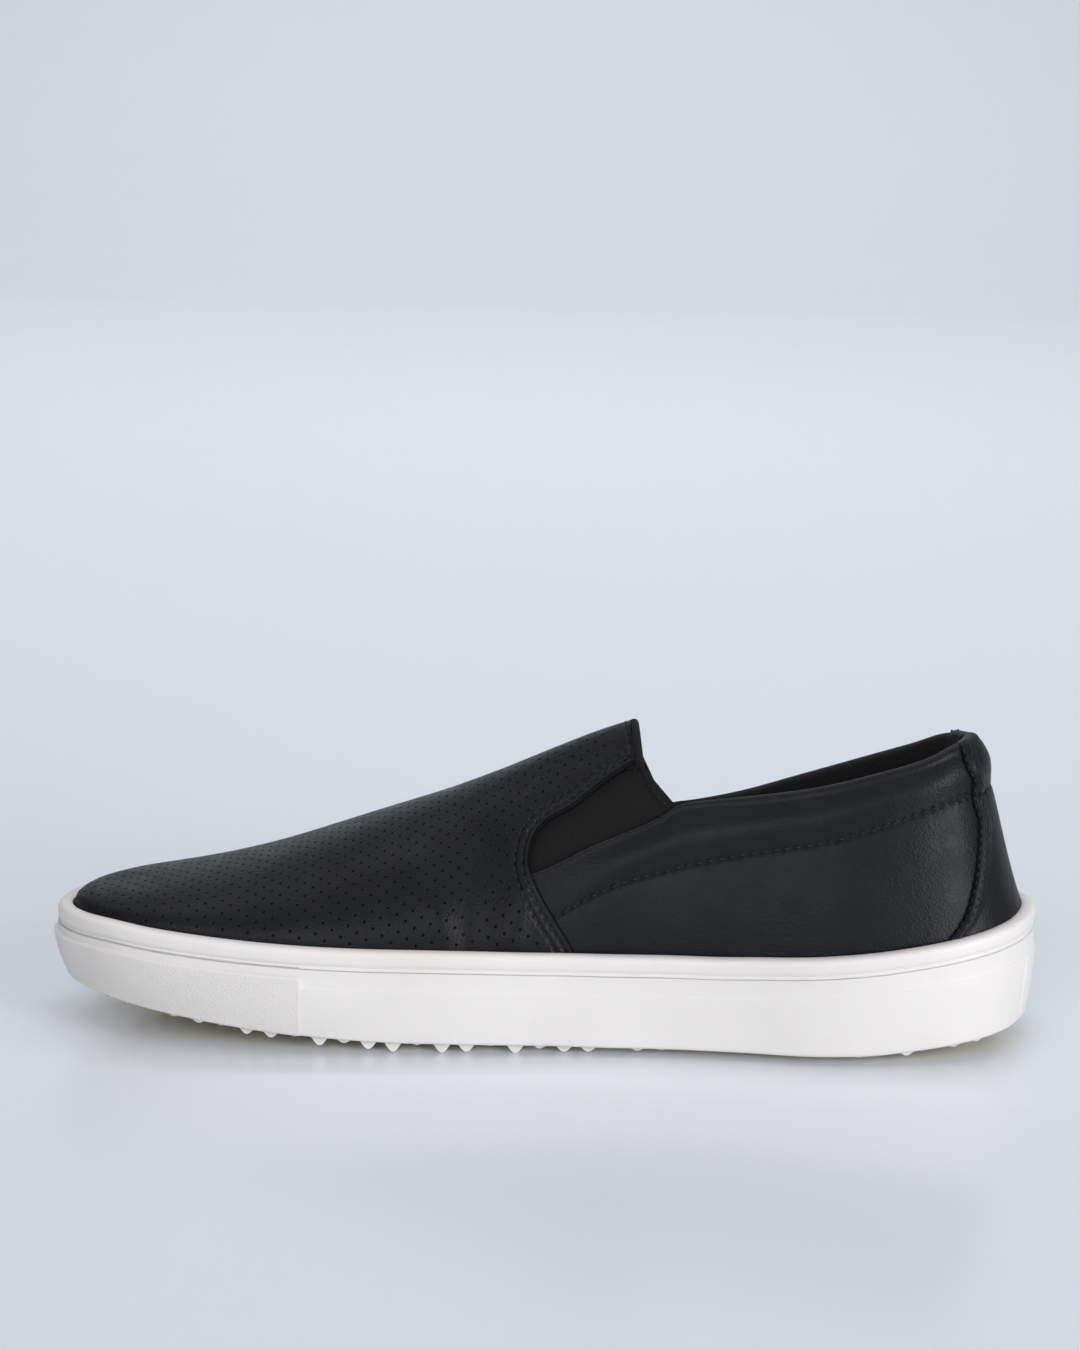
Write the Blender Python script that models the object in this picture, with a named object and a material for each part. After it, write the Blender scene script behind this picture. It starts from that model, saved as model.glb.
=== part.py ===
"""A slip-on sneaker, right shoe: hollow leather upper, two elastic gores and a white rubber cupsole.

The toe points to -X, the medial side to -Y and +Z is up, in metres. The origin is on the floor, under the
middle of the sole's box. Every piece follows one last: a plan outline, where the upper meets the rim of the
cup, and sections that rise from it to a crown line. Places along the shoe are shares of the length of that
outline, from the toe, and the tables hold lengths as shares of the sizes named here.
"""
import math

import bmesh
import bpy
import numpy as np

# Driving sizes
SOLE_LENGTH = 0.300
BALL_WIDTH = 0.095          # of the upper where it meets the rim
HEEL_WIDTH = 0.068          # of the upper where it meets the rim
RIM_HEIGHT = 0.0306         # top of the cup at the waist, over the floor
RIM_RISE = 0.010            # how far the rim climbs to toe and heel
INSTEP_HEIGHT = 0.094       # end of the vamp over the floor
COLLAR_HEIGHT = 0.0935      # top of the heel over the floor
TOE_SPRING = 0.0125
HEEL_SPRING = 0.0058
ARCH_LIFT = 0.0009          # of the tread under the waist
LUG_DEPTH = 0.0026          # how far the tread reaches below the cup's side
LUG_PITCH = 0.0073
LUG_SWEEP = 0.0050          # how far a lug zigzags along the shoe
CUP_WALL = 0.0050           # from the upper to the outer side of the cup
CUP_DEPTH = 0.0130          # of the cup's cavity below its rim
RIM_BEAD_DROP = 0.0046      # from the rim down to the groove
BAND_DROP = 0.0113          # from the rim down to the step line
BUMPER_DROP = 0.0078        # from the rim down to the top of the toe bumper
BUMPER_STEP = 0.0009        # how far the toe bumper stands proud
BUMPER_LENGTH = 0.0775
RECESS_DEPTH = 0.0026       # seat of the tread in the underside of the cup
RECESS_INSET = 0.0024       # lip round it, at the foot of the side
INSOLE_THICKNESS = 0.0045
INSOLE_DISH = 0.0012        # how much higher its margin stands
INSOLE_MARGIN = 0.009       # width of that margin
UPPER_WALL = 0.0026         # leather and lining of the vamp
LEATHER_LAP = 0.0008        # the quarters lie this much deeper than the vamp
COLLAR_PUFF = 0.0014        # padding that swells outward
COLLAR_PAD = 0.0034         # padding that swells inward
GORE_THICKNESS = 0.0012
STRIP_THICKNESS = 0.0012
BINDING_WIDTH = 0.0050
BINDING_SWELL = 0.0007      # how far the binding stands proud of the vamp on each side
CLEARANCE = 0.0003          # between pieces that touch

# Where the upper's outline ends, inside the ends of the sole
STEP_REACH = 1.02           # reach of the cup's step line, as a share of CUP_WALL
TOE_INSET = STEP_REACH * CUP_WALL + BUMPER_STEP
HEEL_INSET = STEP_REACH * CUP_WALL
FEATHER_LENGTH = SOLE_LENGTH - TOE_INSET - HEEL_INSET

COLUMNS_PER_SIDE = 38
COLUMN_CROWDING = 0.45      # how much closer together they lie at toe and heel
CURVE_STEPS = 24
NEAR = 1e-4                 # shares of the outline this close to a tip are that tip
MERGE_DISTANCE = 1e-6       # points closer than this are one point


def table(columns, *rows):
    """Named columns of a table that is written row by row."""
    return dict(zip(columns.split(), (np.array(column, float) for column in zip(*rows))))


# Half widths of the upper at the rim, as shares of the ball's width, or of the heel's width behind the
# waist. The toe's tip lies on the medial side of the middle.
PLAN = table(
    "along medial lateral",
    (0.000, 0.060, -0.060),
    (0.012, 0.148, 0.090),
    (0.042, 0.226, 0.200),
    (0.085, 0.283, 0.292),
    (0.150, 0.323, 0.395),
    (0.230, 0.350, 0.505),
    (0.300, 0.354, 0.595),
    (0.380, 0.338, 0.640),
    (0.460, 0.320, 0.652),
    (0.540, 0.322, 0.628),
    (0.620, 0.360, 0.620),
    (0.700, 0.432, 0.585),
    (0.780, 0.490, 0.522),
    (0.850, 0.482, 0.468),
    (0.910, 0.438, 0.414),
    (0.955, 0.352, 0.326),
    (0.985, 0.215, 0.196),
    (1.000, 0.000, 0.000),
)
WAIST_BLEND = (0.45, 0.75)  # the width unit passes from the ball to the heel here

# rim: climb of the rim, as a share of RIM_RISE. toe and heel: lift of the side's lower edge, as shares of
# the two springs. tread: lift of the lug tips, as a share of TOE_SPRING in front and HEEL_SPRING behind.
# arch: share of ARCH_LIFT. flare: reach of the lower edge, as a share of CUP_WALL.
SOLE_LINES = table(
    "along rim toe heel tread arch flare",
    (0.000, 0.62, 1.00, 0.00, 0.82, 0.0, 0.40),
    (0.042, 0.62, 0.84, 0.00, 0.68, 0.0, 0.35),
    (0.100, 0.49, 0.63, 0.00, 0.50, 0.0, 0.35),
    (0.170, 0.34, 0.42, 0.00, 0.31, 0.0, 0.45),
    (0.250, 0.23, 0.24, 0.00, 0.14, 0.0, 0.50),
    (0.330, 0.16, 0.12, 0.00, 0.02, 0.0, 0.60),
    (0.360, 0.14, 0.09, 0.00, 0.00, 0.0, 0.65),
    (0.500, 0.04, 0.03, 0.00, 0.00, 0.0, 0.80),
    (0.580, 0.00, 0.00, 0.00, 0.00, 1.0, 0.95),
    (0.660, 0.01, 0.00, 0.00, 0.00, 1.0, 0.95),
    (0.730, 0.10, 0.00, 0.00, 0.00, 0.0, 0.90),
    (0.830, 0.34, 0.00, 0.08, 0.00, 0.0, 0.80),
    (0.870, 0.49, 0.00, 0.26, 0.12, 0.0, 0.75),
    (0.930, 0.75, 0.00, 0.58, 0.36, 0.0, 0.75),
    (0.970, 0.94, 0.00, 0.80, 0.56, 0.0, 0.75),
    (1.000, 1.08, 0.00, 1.00, 0.74, 0.0, 0.75),
)

# The crown of each section: height as a share of INSTEP_HEIGHT, sideways place as a share of BALL_WIDTH.
# lean, rise and flat shape the side below it: how far it leans in, rises before it turns, and runs flat on
# top. tuck: how much more the lateral side leans in and how much less it runs flat. Behind the throat the
# crown is a line above the opening, which only gives the quarters their lean.
CROWN = table(
    "along height across lean rise flat tuck",
    (0.050, 0.450, -0.125, 0.01, 0.84, 0.55, 0.00),
    (0.140, 0.492, -0.105, 0.02, 0.62, 0.55, 0.00),
    (0.200, 0.534, -0.085, 0.03, 0.55, 0.55, 0.00),
    (0.260, 0.590, -0.063, 0.04, 0.52, 0.55, 0.00),
    (0.330, 0.663, -0.042, 0.05, 0.50, 0.52, 0.00),
    (0.390, 0.729, -0.032, 0.06, 0.48, 0.48, 0.00),
    (0.450, 0.807, -0.030, 0.07, 0.46, 0.44, 0.00),
    (0.515, 0.901, -0.035, 0.08, 0.45, 0.42, 0.01),
    (0.560, 0.962, -0.042, 0.09, 0.44, 0.42, 0.03),
    (0.605, 1.010, -0.055, 0.09, 0.43, 0.42, 0.07),
    (0.680, 1.045, -0.080, 0.11, 0.40, 0.47, 0.12),
    (0.760, 1.085, -0.110, 0.14, 0.38, 0.50, 0.09),
    (0.870, 1.220, -0.140, 0.28, 0.34, 0.56, 0.03),
)
TOE_TOP = 0.050             # the crown starts this far behind the toe
TOE_FADE = 0.26
HEEL_TOP = 0.131            # and ends this far before the heel
HEEL_FADE = 0.32

# Side view. Heights of the vamp's edge beside the gore are shares of INSTEP_HEIGHT, from the notch, where
# the vamp meets the quarter, up to the throat. In lateral view the notch lies lower.
VAMP_EDGE = table(
    "along height drop",
    (0.4815, 0.558, 1.0),
    (0.4780, 0.596, 1.0),
    (0.4795, 0.640, 0.9),
    (0.4855, 0.686, 0.8),
    (0.4990, 0.724, 0.6),
    (0.5205, 0.761, 0.4),
    (0.5510, 0.830, 0.2),
    (0.5780, 0.886, 0.0),
)
NOTCH_DROP = 0.0030
THROAT_TOP = 0.5890         # along, where the end of the vamp crosses the crown
THROAT_LEAN = 0.16          # how much further back it lies for each step down

# Seam of vamp and quarter from the notch down into the cup, heights as shares of INSTEP_HEIGHT
VAMP_SEAM = table(
    "along height",
    (0.4815, 0.558),
    (0.4860, 0.530),
    (0.5050, 0.436),
    (0.5270, 0.330),
    (0.5460, 0.200),
)

# The collar in side view, heights as shares of COLLAR_HEIGHT. top: medial edge of the quarter, from the
# notch to the heel. seam: stitched lower edge of the padded band. drop: how much lower the lateral edge is.
COLLAR = table(
    "along top seam drop",
    (0.4815, 0.561, 0.420, 0.032),
    (0.5040, 0.589, 0.438, 0.047),
    (0.5420, 0.646, 0.500, 0.077),
    (0.5780, 0.692, 0.548, 0.105),
    (0.6180, 0.750, 0.585, 0.128),
    (0.6320, 0.780, 0.597, 0.134),
    (0.6600, 0.798, 0.618, 0.126),
    (0.7050, 0.818, 0.650, 0.101),
    (0.7720, 0.855, 0.690, 0.058),
    (0.8450, 0.913, 0.750, 0.033),
    (0.8860, 0.948, 0.795, 0.022),
    (0.9250, 0.990, 0.828, 0.010),
    (0.9560, 1.004, 0.836, 0.000),
    (1.0000, 0.985, 0.830, 0.000),
)
SEAM_DROP = 0.7             # the lateral seam drops by this share of the edge's drop
PUFF_FADE = (0.50, 0.62)    # the padding sets in between these places along the shoe
PAD_FADE = (0.61, 0.73)
PAD_START = -0.25           # padding inside, as shares of the band's height
PAD_FULL = 0.45
PAD_END = 1.35
PAD_THINS = 0.65            # and how much thinner it is at its end

# The free edge of a gore runs from the throat's corner to the front of the collar
GORE_TUCK = 0.0065          # hidden under the leather round the gap
GORE_TUCK_HEIGHT = 0.0075

# Front edge of the heel strip in side view. height: share of the way from the strip's foot to COLLAR_HEIGHT
STRIP_EDGE = table(
    "along height",
    (0.8900, 0.000),
    (0.9090, 0.025),
    (0.9300, 0.120),
    (0.9410, 0.330),
    (0.9440, 0.540),
    (0.9360, 0.700),
    (0.9370, 0.770),
    (0.9280, 0.885),
    (0.9150, 1.170),
)

# Side of the cup from its cavity to its underside. out: share of CUP_WALL. level: 0 rim, 1 groove, 2 step
# line, 3 lower edge, and what lies between.
CUP_SIDE = table(
    "out level",
    (0.30, -0.10),
    (0.66, -0.02),
    (0.90, 0.22),
    (0.98, 0.50),
    (0.93, 0.78),
    (0.80, 0.94),
    (0.80, 1.10),
    (0.93, 1.30),
    (0.94, 1.94),
    (STEP_REACH, 2.00),
)
LOWER_SIDE_LEVELS = (2.50, 2.85)
EDGE_ROUND = 0.0012         # radius at the foot of the side
EDGE_CORNER = 0.3           # how much of it stays at the round's middle
SIDE_BELLY = 1.6            # above 1 the side runs straight first and turns in near its foot
BUMPER_FOOT = 0.6           # share of the bumper's step that is left at the side's foot

MATERIALS = {
    "white_rubber": ((0.84, 0.82, 0.79), 0.45),
    "tread_rubber": ((0.74, 0.71, 0.67), 0.60),
    "black_leather": ((0.018, 0.020, 0.022), 0.42),
    "black_elastic": ((0.016, 0.017, 0.018), 0.85),
    "black_lining": ((0.014, 0.014, 0.015), 0.90),
}


def slopes(where, values):
    """Slopes of a curve through the values that never overshoots them."""
    run = np.diff(where)
    rise = np.diff(values) / run
    inner = np.zeros(len(values))
    same_way = rise[:-1] * rise[1:] > 0
    front, back = rise[:-1][same_way], rise[1:][same_way]
    weight_front = (run[:-1] + 2 * run[1:])[same_way]
    weight_back = (2 * run[:-1] + run[1:])[same_way]
    inner[1:-1][same_way] = (weight_front + weight_back) / (weight_front / front + weight_back / back)
    inner[0], inner[-1] = rise[0], rise[-1]
    return inner


def smooth(rows, column, where):
    """A table's column read on a smooth curve, at one place or at many."""
    known, values = rows["along"], rows[column]
    at = np.clip(np.asarray(where, float), known[0], known[-1])
    slope = slopes(known, values)
    row = np.clip(np.searchsorted(known, at, side="right") - 1, 0, len(known) - 2)
    run = known[row + 1] - known[row]
    part = (at - known[row]) / run
    start = (1 + 2 * part) * (1 - part) ** 2 * values[row] + part * (1 - part) ** 2 * run * slope[row]
    end = part ** 2 * (3 - 2 * part) * values[row + 1] + part ** 2 * (part - 1) * run * slope[row + 1]
    return start + end


def ease(part):
    """Smooth step from 0 to 1."""
    part = np.clip(part, 0.0, 1.0)
    return part * part * (3 - 2 * part)


def rounded_loop(corners):
    """A closed curve through points in a plane, evenly bent between near and far neighbours."""
    corners = np.array(corners, float)
    count = len(corners)
    pieces = []
    for index in range(count):
        before, start, end, after = (corners[(index + shift) % count] for shift in (-1, 0, 1, 2))
        knot_1 = math.dist(before, start) ** 0.5
        knot_2 = knot_1 + math.dist(start, end) ** 0.5
        knot_3 = knot_2 + math.dist(end, after) ** 0.5
        at = np.linspace(knot_1, knot_2, CURVE_STEPS, endpoint=False)[:, None]
        first = ((knot_1 - at) * before + at * start) / knot_1
        second = ((knot_2 - at) * start + (at - knot_1) * end) / (knot_2 - knot_1)
        third = ((knot_3 - at) * end + (at - knot_2) * after) / (knot_3 - knot_2)
        front = ((knot_2 - at) * first + at * second) / knot_2
        back = ((knot_3 - at) * second + (at - knot_1) * third) / (knot_3 - knot_1)
        pieces.append(((knot_2 - at) * front + (at - knot_1) * back) / (knot_2 - knot_1))
    return np.vstack(pieces)


def plan_sides():
    """The upper's outline at the rim, toe to heel, for the medial and the lateral side."""
    along = PLAN["along"]
    blend = ease((along - WAIST_BLEND[0]) / (WAIST_BLEND[1] - WAIST_BLEND[0]))
    width = BALL_WIDTH + (HEEL_WIDTH - BALL_WIDTH) * blend
    x = TOE_INSET + along * FEATHER_LENGTH - SOLE_LENGTH / 2
    medial = np.column_stack((x, -PLAN["medial"] * width))
    lateral = np.column_stack((x, PLAN["lateral"] * width))
    loop = rounded_loop(np.vstack((medial, lateral[-2:0:-1])))
    heel = (len(along) - 1) * CURVE_STEPS
    sides = (loop[:heel + 1], np.vstack((loop[heel:], loop[:1]))[::-1])
    middle = 0.5 * (loop[:, 1].min() + loop[:, 1].max())
    found = {}
    for name, line in zip(("medial", "lateral"), sides):
        line = line - np.array((0.0, middle))
        steps = np.hypot(*np.diff(line, axis=0).T)
        reach = np.concatenate(((0.0,), np.cumsum(steps)))
        found[name] = (reach / reach[-1], line)
    return found


SIDES = plan_sides()


def outline(side, turn):
    """Points of the outline at shares of its length from toe tip to heel tip."""
    share, line = SIDES[side]
    return np.column_stack((np.interp(turn, share, line[:, 0]), np.interp(turn, share, line[:, 1])))


def outward(side, turn):
    """Unit vectors that point out of the outline in plan."""
    ahead = outline(side, np.clip(turn + NORMAL_STEP, 0, 1))
    behind = outline(side, np.clip(turn - NORMAL_STEP, 0, 1))
    run = ahead - behind
    tips = (turn < NEAR) | (turn > 1 - NEAR)
    normal = np.column_stack((run[:, 1], -run[:, 0])) * (1 if side == "medial" else -1)
    normal[tips] = np.column_stack((np.where(turn[tips] < 0.5, -1.0, 1.0), np.zeros(tips.sum())))
    return normal / np.linalg.norm(normal, axis=1)[:, None]


def along_of(x):
    """Share of the outline's length, from its X."""
    return (x + SOLE_LENGTH / 2 - TOE_INSET) / FEATHER_LENGTH


def x_of(along):
    """X at a share of the outline's length."""
    return along * FEATHER_LENGTH + TOE_INSET - SOLE_LENGTH / 2


def rim_height(along):
    return RIM_HEIGHT + RIM_RISE * smooth(SOLE_LINES, "rim", along)


def edge_height(along):
    """Lower edge of the cup's side."""
    spring = TOE_SPRING * smooth(SOLE_LINES, "toe", along) + HEEL_SPRING * smooth(SOLE_LINES, "heel", along)
    return LUG_DEPTH + spring


def tread_height(along):
    """Tips of the lugs. Under the ball and the heel they lie on the floor."""
    spring = np.where(along < 0.5, TOE_SPRING, HEEL_SPRING)
    return spring * smooth(SOLE_LINES, "tread", along) + ARCH_LIFT * smooth(SOLE_LINES, "arch", along)


def crown_along(along):
    """Where the section that starts at a place of the outline reaches the crown."""
    toe = np.clip(1 - along / TOE_FADE, 0, 1)
    heel = np.clip(1 - (1 - along) / HEEL_FADE, 0, 1)
    return along + TOE_TOP * toe ** 2 - HEEL_TOP * heel ** 2


SLOPE_STEP = 0.01           # distance along the shoe over which slopes are measured
NORMAL_STEP = 0.004         # the same for the surface's normals
TOP_LEVEL = 0.96            # above this level the normals stay the same


def crown_slope(along):
    """Climb of the crown for each step along the shoe."""
    step = SLOPE_STEP
    rise = INSTEP_HEIGHT * (smooth(CROWN, "height", along + step) - smooth(CROWN, "height", along - step))
    reach = np.clip(along + step, None, CROWN["along"][-1]) - np.clip(along - step, CROWN["along"][0], None)
    return rise / (reach * FEATHER_LENGTH)


def last_point(side, turn, height):
    """Last surface at shares of the outline and of the way up each section.

    A negative height is a depth below the rim, as a share of the cup's depth there."""
    other = "lateral" if side == "medial" else "medial"
    foot = outline(side, turn)
    along = along_of(foot[:, 0])
    top_along = crown_along(along_of(0.5 * (foot[:, 0] + outline(other, turn)[:, 0])))
    low = np.column_stack((foot, rim_height(along)))
    top = np.column_stack((
        x_of(top_along),
        BALL_WIDTH * smooth(CROWN, "across", top_along),
        INSTEP_HEIGHT * smooth(CROWN, "height", top_along),
    ))
    shares = (smooth(CROWN, name, top_along)[:, None] for name in ("lean", "rise", "flat", "tuck"))
    lean, rise, flat, tuck = shares
    if side == "lateral":
        lean, flat = lean + tuck, flat - tuck
    reach = low - top
    reach[:, 2] = 0
    climb = (top - low) * (0, 0, 1)
    turn_low = low - lean * reach + rise * climb
    turn_top = top + flat * reach
    turn_top[:, 2] += crown_slope(top_along) * (turn_top[:, 0] - top[:, 0])
    up = np.clip(height, 0, 1)[:, None]
    curve = (1 - up) ** 3 * low + 3 * (1 - up) ** 2 * up * turn_low
    curve = curve + 3 * (1 - up) * up ** 2 * turn_top + up ** 3 * top
    depth = rim_height(along) - seat_height(along)
    curve[:, 2] += np.minimum(height, 0) * depth
    return curve


def seat_height(along):
    """Foot of the upper inside the cup."""
    return rim_height(along) - CUP_DEPTH + CLEARANCE


def last_normal(side, turn, height):
    """Unit normals of the last surface, pointing out."""
    step = NORMAL_STEP
    level = np.clip(height, -1, TOP_LEVEL)
    ahead = last_point(side, np.clip(turn + step, 0, 1), level)
    behind = last_point(side, np.clip(turn - step, 0, 1), level)
    run = ahead - behind
    tips = (turn < NEAR) | (turn > 1 - NEAR)
    run[tips] = (0.0, 1.0, 0.0)
    sign = 1.0 if side == "medial" else -1.0
    toe_tip = tips & (turn < 0.5)
    run[toe_tip] *= -sign
    run[tips & ~toe_tip] *= sign
    rise = last_point(side, turn, np.clip(level + step, -1, 1)) - last_point(side, turn, level - step)
    normal = np.cross(rise, run) * -sign
    return normal / np.linalg.norm(normal, axis=1)[:, None]


def collar_lines(side, along):
    """Top edge and stitched lower edge of the padded band."""
    drop = COLLAR["drop"] if side == "lateral" else 0.0 * COLLAR["drop"]
    edges = dict(COLLAR, top=COLLAR["top"] - drop, seam=COLLAR["seam"] - SEAM_DROP * drop)
    return COLLAR_HEIGHT * smooth(edges, "top", along), COLLAR_HEIGHT * smooth(edges, "seam", along)


def band_part(side, points):
    """Share of the way from the band's seam to its top edge."""
    top, seam = collar_lines(side, along_of(points[:, 0]))
    return (points[:, 2] - seam) / (top - seam)


def fade_in(points, fade):
    """Rises from 0 to 1 along the shoe, between two places."""
    return ease((along_of(points[:, 0]) - fade[0]) / (fade[1] - fade[0]))


def puff(side, points):
    """How far the padded band swells outward."""
    part = np.clip(band_part(side, points), 0, 1)
    return COLLAR_PUFF * fade_in(points, PUFF_FADE) * np.sin(math.pi * part) ** 2


def inner_depth(side, points):
    """Depth of the upper's inner side below the last surface: its wall, and the padding at the collar."""
    part = band_part(side, points)
    full = ease((part - PAD_START) / (PAD_FULL - PAD_START))
    thin = 1 - PAD_THINS * ease((part - PAD_FULL) / (PAD_END - PAD_FULL))
    return UPPER_WALL + COLLAR_PAD * fade_in(points, PAD_FADE) * full * thin


def shell_point(side, turn, height, offset, inside=False):
    """Points of the upper's outer or inner side, moved out by an offset."""
    base = last_point(side, turn, height)
    normal = last_normal(side, turn, height)
    away = -inner_depth(side, base) if inside else puff(side, base)
    return base + normal * (away + offset)[:, None]


# Mesh building

def make_material(name):
    color, roughness = MATERIALS[name]
    material = bpy.data.materials.new(name)
    material.use_nodes = True
    shader = material.node_tree.nodes["Principled BSDF"]
    shader.inputs["Base Color"].default_value = (*color, 1.0)
    shader.inputs["Roughness"].default_value = roughness
    shader.inputs["Metallic"].default_value = 0.0
    material.diffuse_color = (*color, 1.0)
    return material


def make_object(name, points, faces, material=None, sharp_degrees=40):
    """A closed mesh from points and faces. Without a material it is a cutter."""
    mesh = bpy.data.meshes.new(name)
    mesh.from_pydata([tuple(point) for point in points], [], faces)
    work = bmesh.new()
    work.from_mesh(mesh)
    bmesh.ops.remove_doubles(work, verts=work.verts, dist=MERGE_DISTANCE)
    bmesh.ops.recalc_face_normals(work, faces=work.faces)
    if work.calc_volume(signed=True) < 0:
        bmesh.ops.reverse_faces(work, faces=work.faces)
    work.to_mesh(mesh)
    work.free()
    made = bpy.data.objects.new(name, mesh)
    bpy.context.scene.collection.objects.link(made)
    if material is None:
        made.hide_render = True
        made.display_type = "WIRE"
    else:
        mesh.materials.append(MATERIAL[material])
        mesh.shade_smooth()
        mesh.set_sharp_from_angle(angle=math.radians(sharp_degrees))
    return made


def cut(target, cutter, operation="DIFFERENCE"):
    """Boolean on the target that stays on its object as a modifier."""
    change = target.modifiers.new(operation.lower(), "BOOLEAN")
    change.object = cutter
    change.operation = operation
    change.solver = "EXACT"


def columns():
    """Shares of the outline for the columns of one side, closer together at toe and heel."""
    even = np.linspace(0, 1, COLUMNS_PER_SIDE + 1)
    return even - COLUMN_CROWDING * np.sin(2 * math.pi * even) / (2 * math.pi)


def around(turns, make_side):
    """A closed loop of points: toe tip, medial side, heel tip and back along the lateral side."""
    medial = make_side("medial", turns)
    lateral = make_side("lateral", turns)
    return np.vstack((medial, lateral[-2:0:-1]))


def loft(loops, first_index=0):
    """Quads between closed loops of equal length that lie one after the other in the point list."""
    faces = []
    size = len(loops[0])
    for row in range(len(loops) - 1):
        base = first_index + row * size
        for column in range(size):
            beside = (column + 1) % size
            faces.append((base + column, base + beside, base + size + beside, base + size + column))
    return faces


def across_faces(start, count):
    """Closes a loop by strips from the medial to the lateral side."""
    size = 2 * count
    faces = [(start, start + 1, start + size - 1)]
    for column in range(1, count - 1):
        faces.append((start + column, start + column + 1, start + size - column - 1, start + size - column))
    faces.append((start + count - 1, start + count, start + count + 1))
    return faces


def prism(name, medial_shape, lateral_shape):
    """Cutter with one side view on the medial side and another on the lateral side."""
    count = len(medial_shape)
    layers = ((-FAR_OUT, medial_shape), (VIEW_SPLIT[0], medial_shape), (VIEW_SPLIT[1], lateral_shape),
              (FAR_OUT, lateral_shape))
    points = [(x, y, z) for y, shape in layers for x, z in shape]
    faces = loft([medial_shape] * len(layers))
    faces.append(tuple(range(count)))
    last = count * (len(layers) - 1)
    faces.append(tuple(range(last + count - 1, last - 1, -1)))
    return make_object(name, points, faces)


FAR_OUT = 0.12
VIEW_SPLIT = (-0.19 * BALL_WIDTH, -0.042 * BALL_WIDTH)


# The upper

UPPER_LEVELS = (-1.0, -0.35, 0.0, 0.07, 0.15, 0.23, 0.31, 0.39, 0.47, 0.55, 0.63, 0.72, 0.81, 0.90)


def crown_point(turns, offset, inside):
    """Points on the crown, halfway between what the two sides give."""
    level, offsets = np.ones(len(turns)), np.full(len(turns), offset)
    medial, lateral = (shell_point(side, turns, level, offsets, inside) for side in ("medial", "lateral"))
    return 0.5 * (medial + lateral)


def dome_points(offset, inside, foot_offset, levels, turns):
    """Loops of one skin of the upper from its foot up, then the points along its crown."""
    loops = []
    for level in levels:
        away = offset if level > 0 else foot_offset
        loops.append(around(turns, lambda side, at, up=level, away=away: shell_point(
            side, at, np.full(len(at), up), np.full(len(at), away), inside)))
    return loops, crown_point(turns, offset, inside)


def dome_faces(first, loops, count):
    """Faces of one dome: its loops and the last strips up to the crown."""
    faces = loft(loops, first)
    size = 2 * count
    top_loop = first + (len(loops) - 1) * size
    crown = first + len(loops) * size
    for column in range(count):
        faces.append((top_loop + column, top_loop + column + 1, crown + column + 1, crown + column))
        beside = top_loop + (size - column) % size
        faces.append((beside, top_loop + size - column - 1, crown + column + 1, crown + column))
    return faces


def make_dome(name, outer, inner, levels, material=None):
    """A hollow dome, open underneath, between two skins: offset, inside or not, offset of the foot."""
    turns = columns()
    outer_loops, outer_crown = dome_points(*outer, levels, turns)
    inner_loops, inner_crown = dome_points(*inner, levels, turns)
    outer_points = np.vstack((*outer_loops, outer_crown))
    points = np.vstack((outer_points, *inner_loops, inner_crown))
    first_inner = len(outer_points)
    faces = dome_faces(0, outer_loops, COLUMNS_PER_SIDE)
    faces += dome_faces(first_inner, inner_loops, COLUMNS_PER_SIDE)
    size = 2 * COLUMNS_PER_SIDE
    for column in range(size):
        beside = (column + 1) % size
        faces.append((column, beside, first_inner + beside, first_inner + column))
    return make_object(name, points, faces, material)


def make_slab(name, paths, outer, inner, material):
    """A thin closed sheet between two skins. Each path is a row of places (side, turn, level)."""
    skins = []
    for offset, inside in (outer, inner):
        rows = []
        for path in paths:
            row = []
            for side, turn, level in path:
                at = np.array([turn])
                if level == 1.0:
                    row.append(crown_point(at, offset, inside)[0])
                else:
                    row.append(shell_point(side, at, np.array([level]), np.array([offset]), inside)[0])
            rows.append(row)
        skins.append(np.array(rows))
    height, width = len(paths), len(paths[0])
    points = np.vstack([skin.reshape(-1, 3) for skin in skins])
    faces = []
    for first in (0, height * width):
        for row in range(height - 1):
            for column in range(width - 1):
                corner = first + row * width + column
                faces.append((corner, corner + 1, corner + width + 1, corner + width))
    border = [column for column in range(width)]
    border += [row * width + width - 1 for row in range(1, height)]
    border += [(height - 1) * width + column for column in range(width - 2, -1, -1)]
    border += [row * width for row in range(height - 2, 0, -1)]
    for index, here in enumerate(border):
        there = border[(index + 1) % len(border)]
        faces.append((here, there, height * width + there, height * width + here))
    return make_object(name, points, faces, material)


# Side views, as lists of X and Z

def bent(line):
    """A curve through the points of a line, with points added between them."""
    line = np.array(line)
    steps = np.hypot(*np.diff(line, axis=0).T)
    reach = np.concatenate(((0.0,), np.cumsum(steps)))
    rows = {"along": reach, "x": line[:, 0], "z": line[:, 1]}
    at = np.concatenate([np.linspace(start, end, EDGE_STEPS, endpoint=False)
                         for start, end in zip(reach, reach[1:])] + [reach[-1:]])
    return list(zip(smooth(rows, "x", at), smooth(rows, "z", at)))


EDGE_STEPS = 2


def vamp_edge(side):
    """Edge of the vamp beside the gore, from the notch up to the throat."""
    drop = VAMP_EDGE["drop"] * (NOTCH_DROP if side == "lateral" else 0.0)
    return bent(list(zip(x_of(VAMP_EDGE["along"]), VAMP_EDGE["height"] * INSTEP_HEIGHT - drop)))


def collar_edge(side):
    """Top edge of quarter and heel, from the notch."""
    drop = COLLAR["drop"] * (1.0 if side == "lateral" else 0.0)
    return bent(list(zip(x_of(COLLAR["along"]), (COLLAR["top"] - drop) * COLLAR_HEIGHT)))


def throat_x(height):
    """End of the vamp at a height."""
    return x_of(THROAT_TOP) + THROAT_LEAN * (INSTEP_HEIGHT - height)


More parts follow.
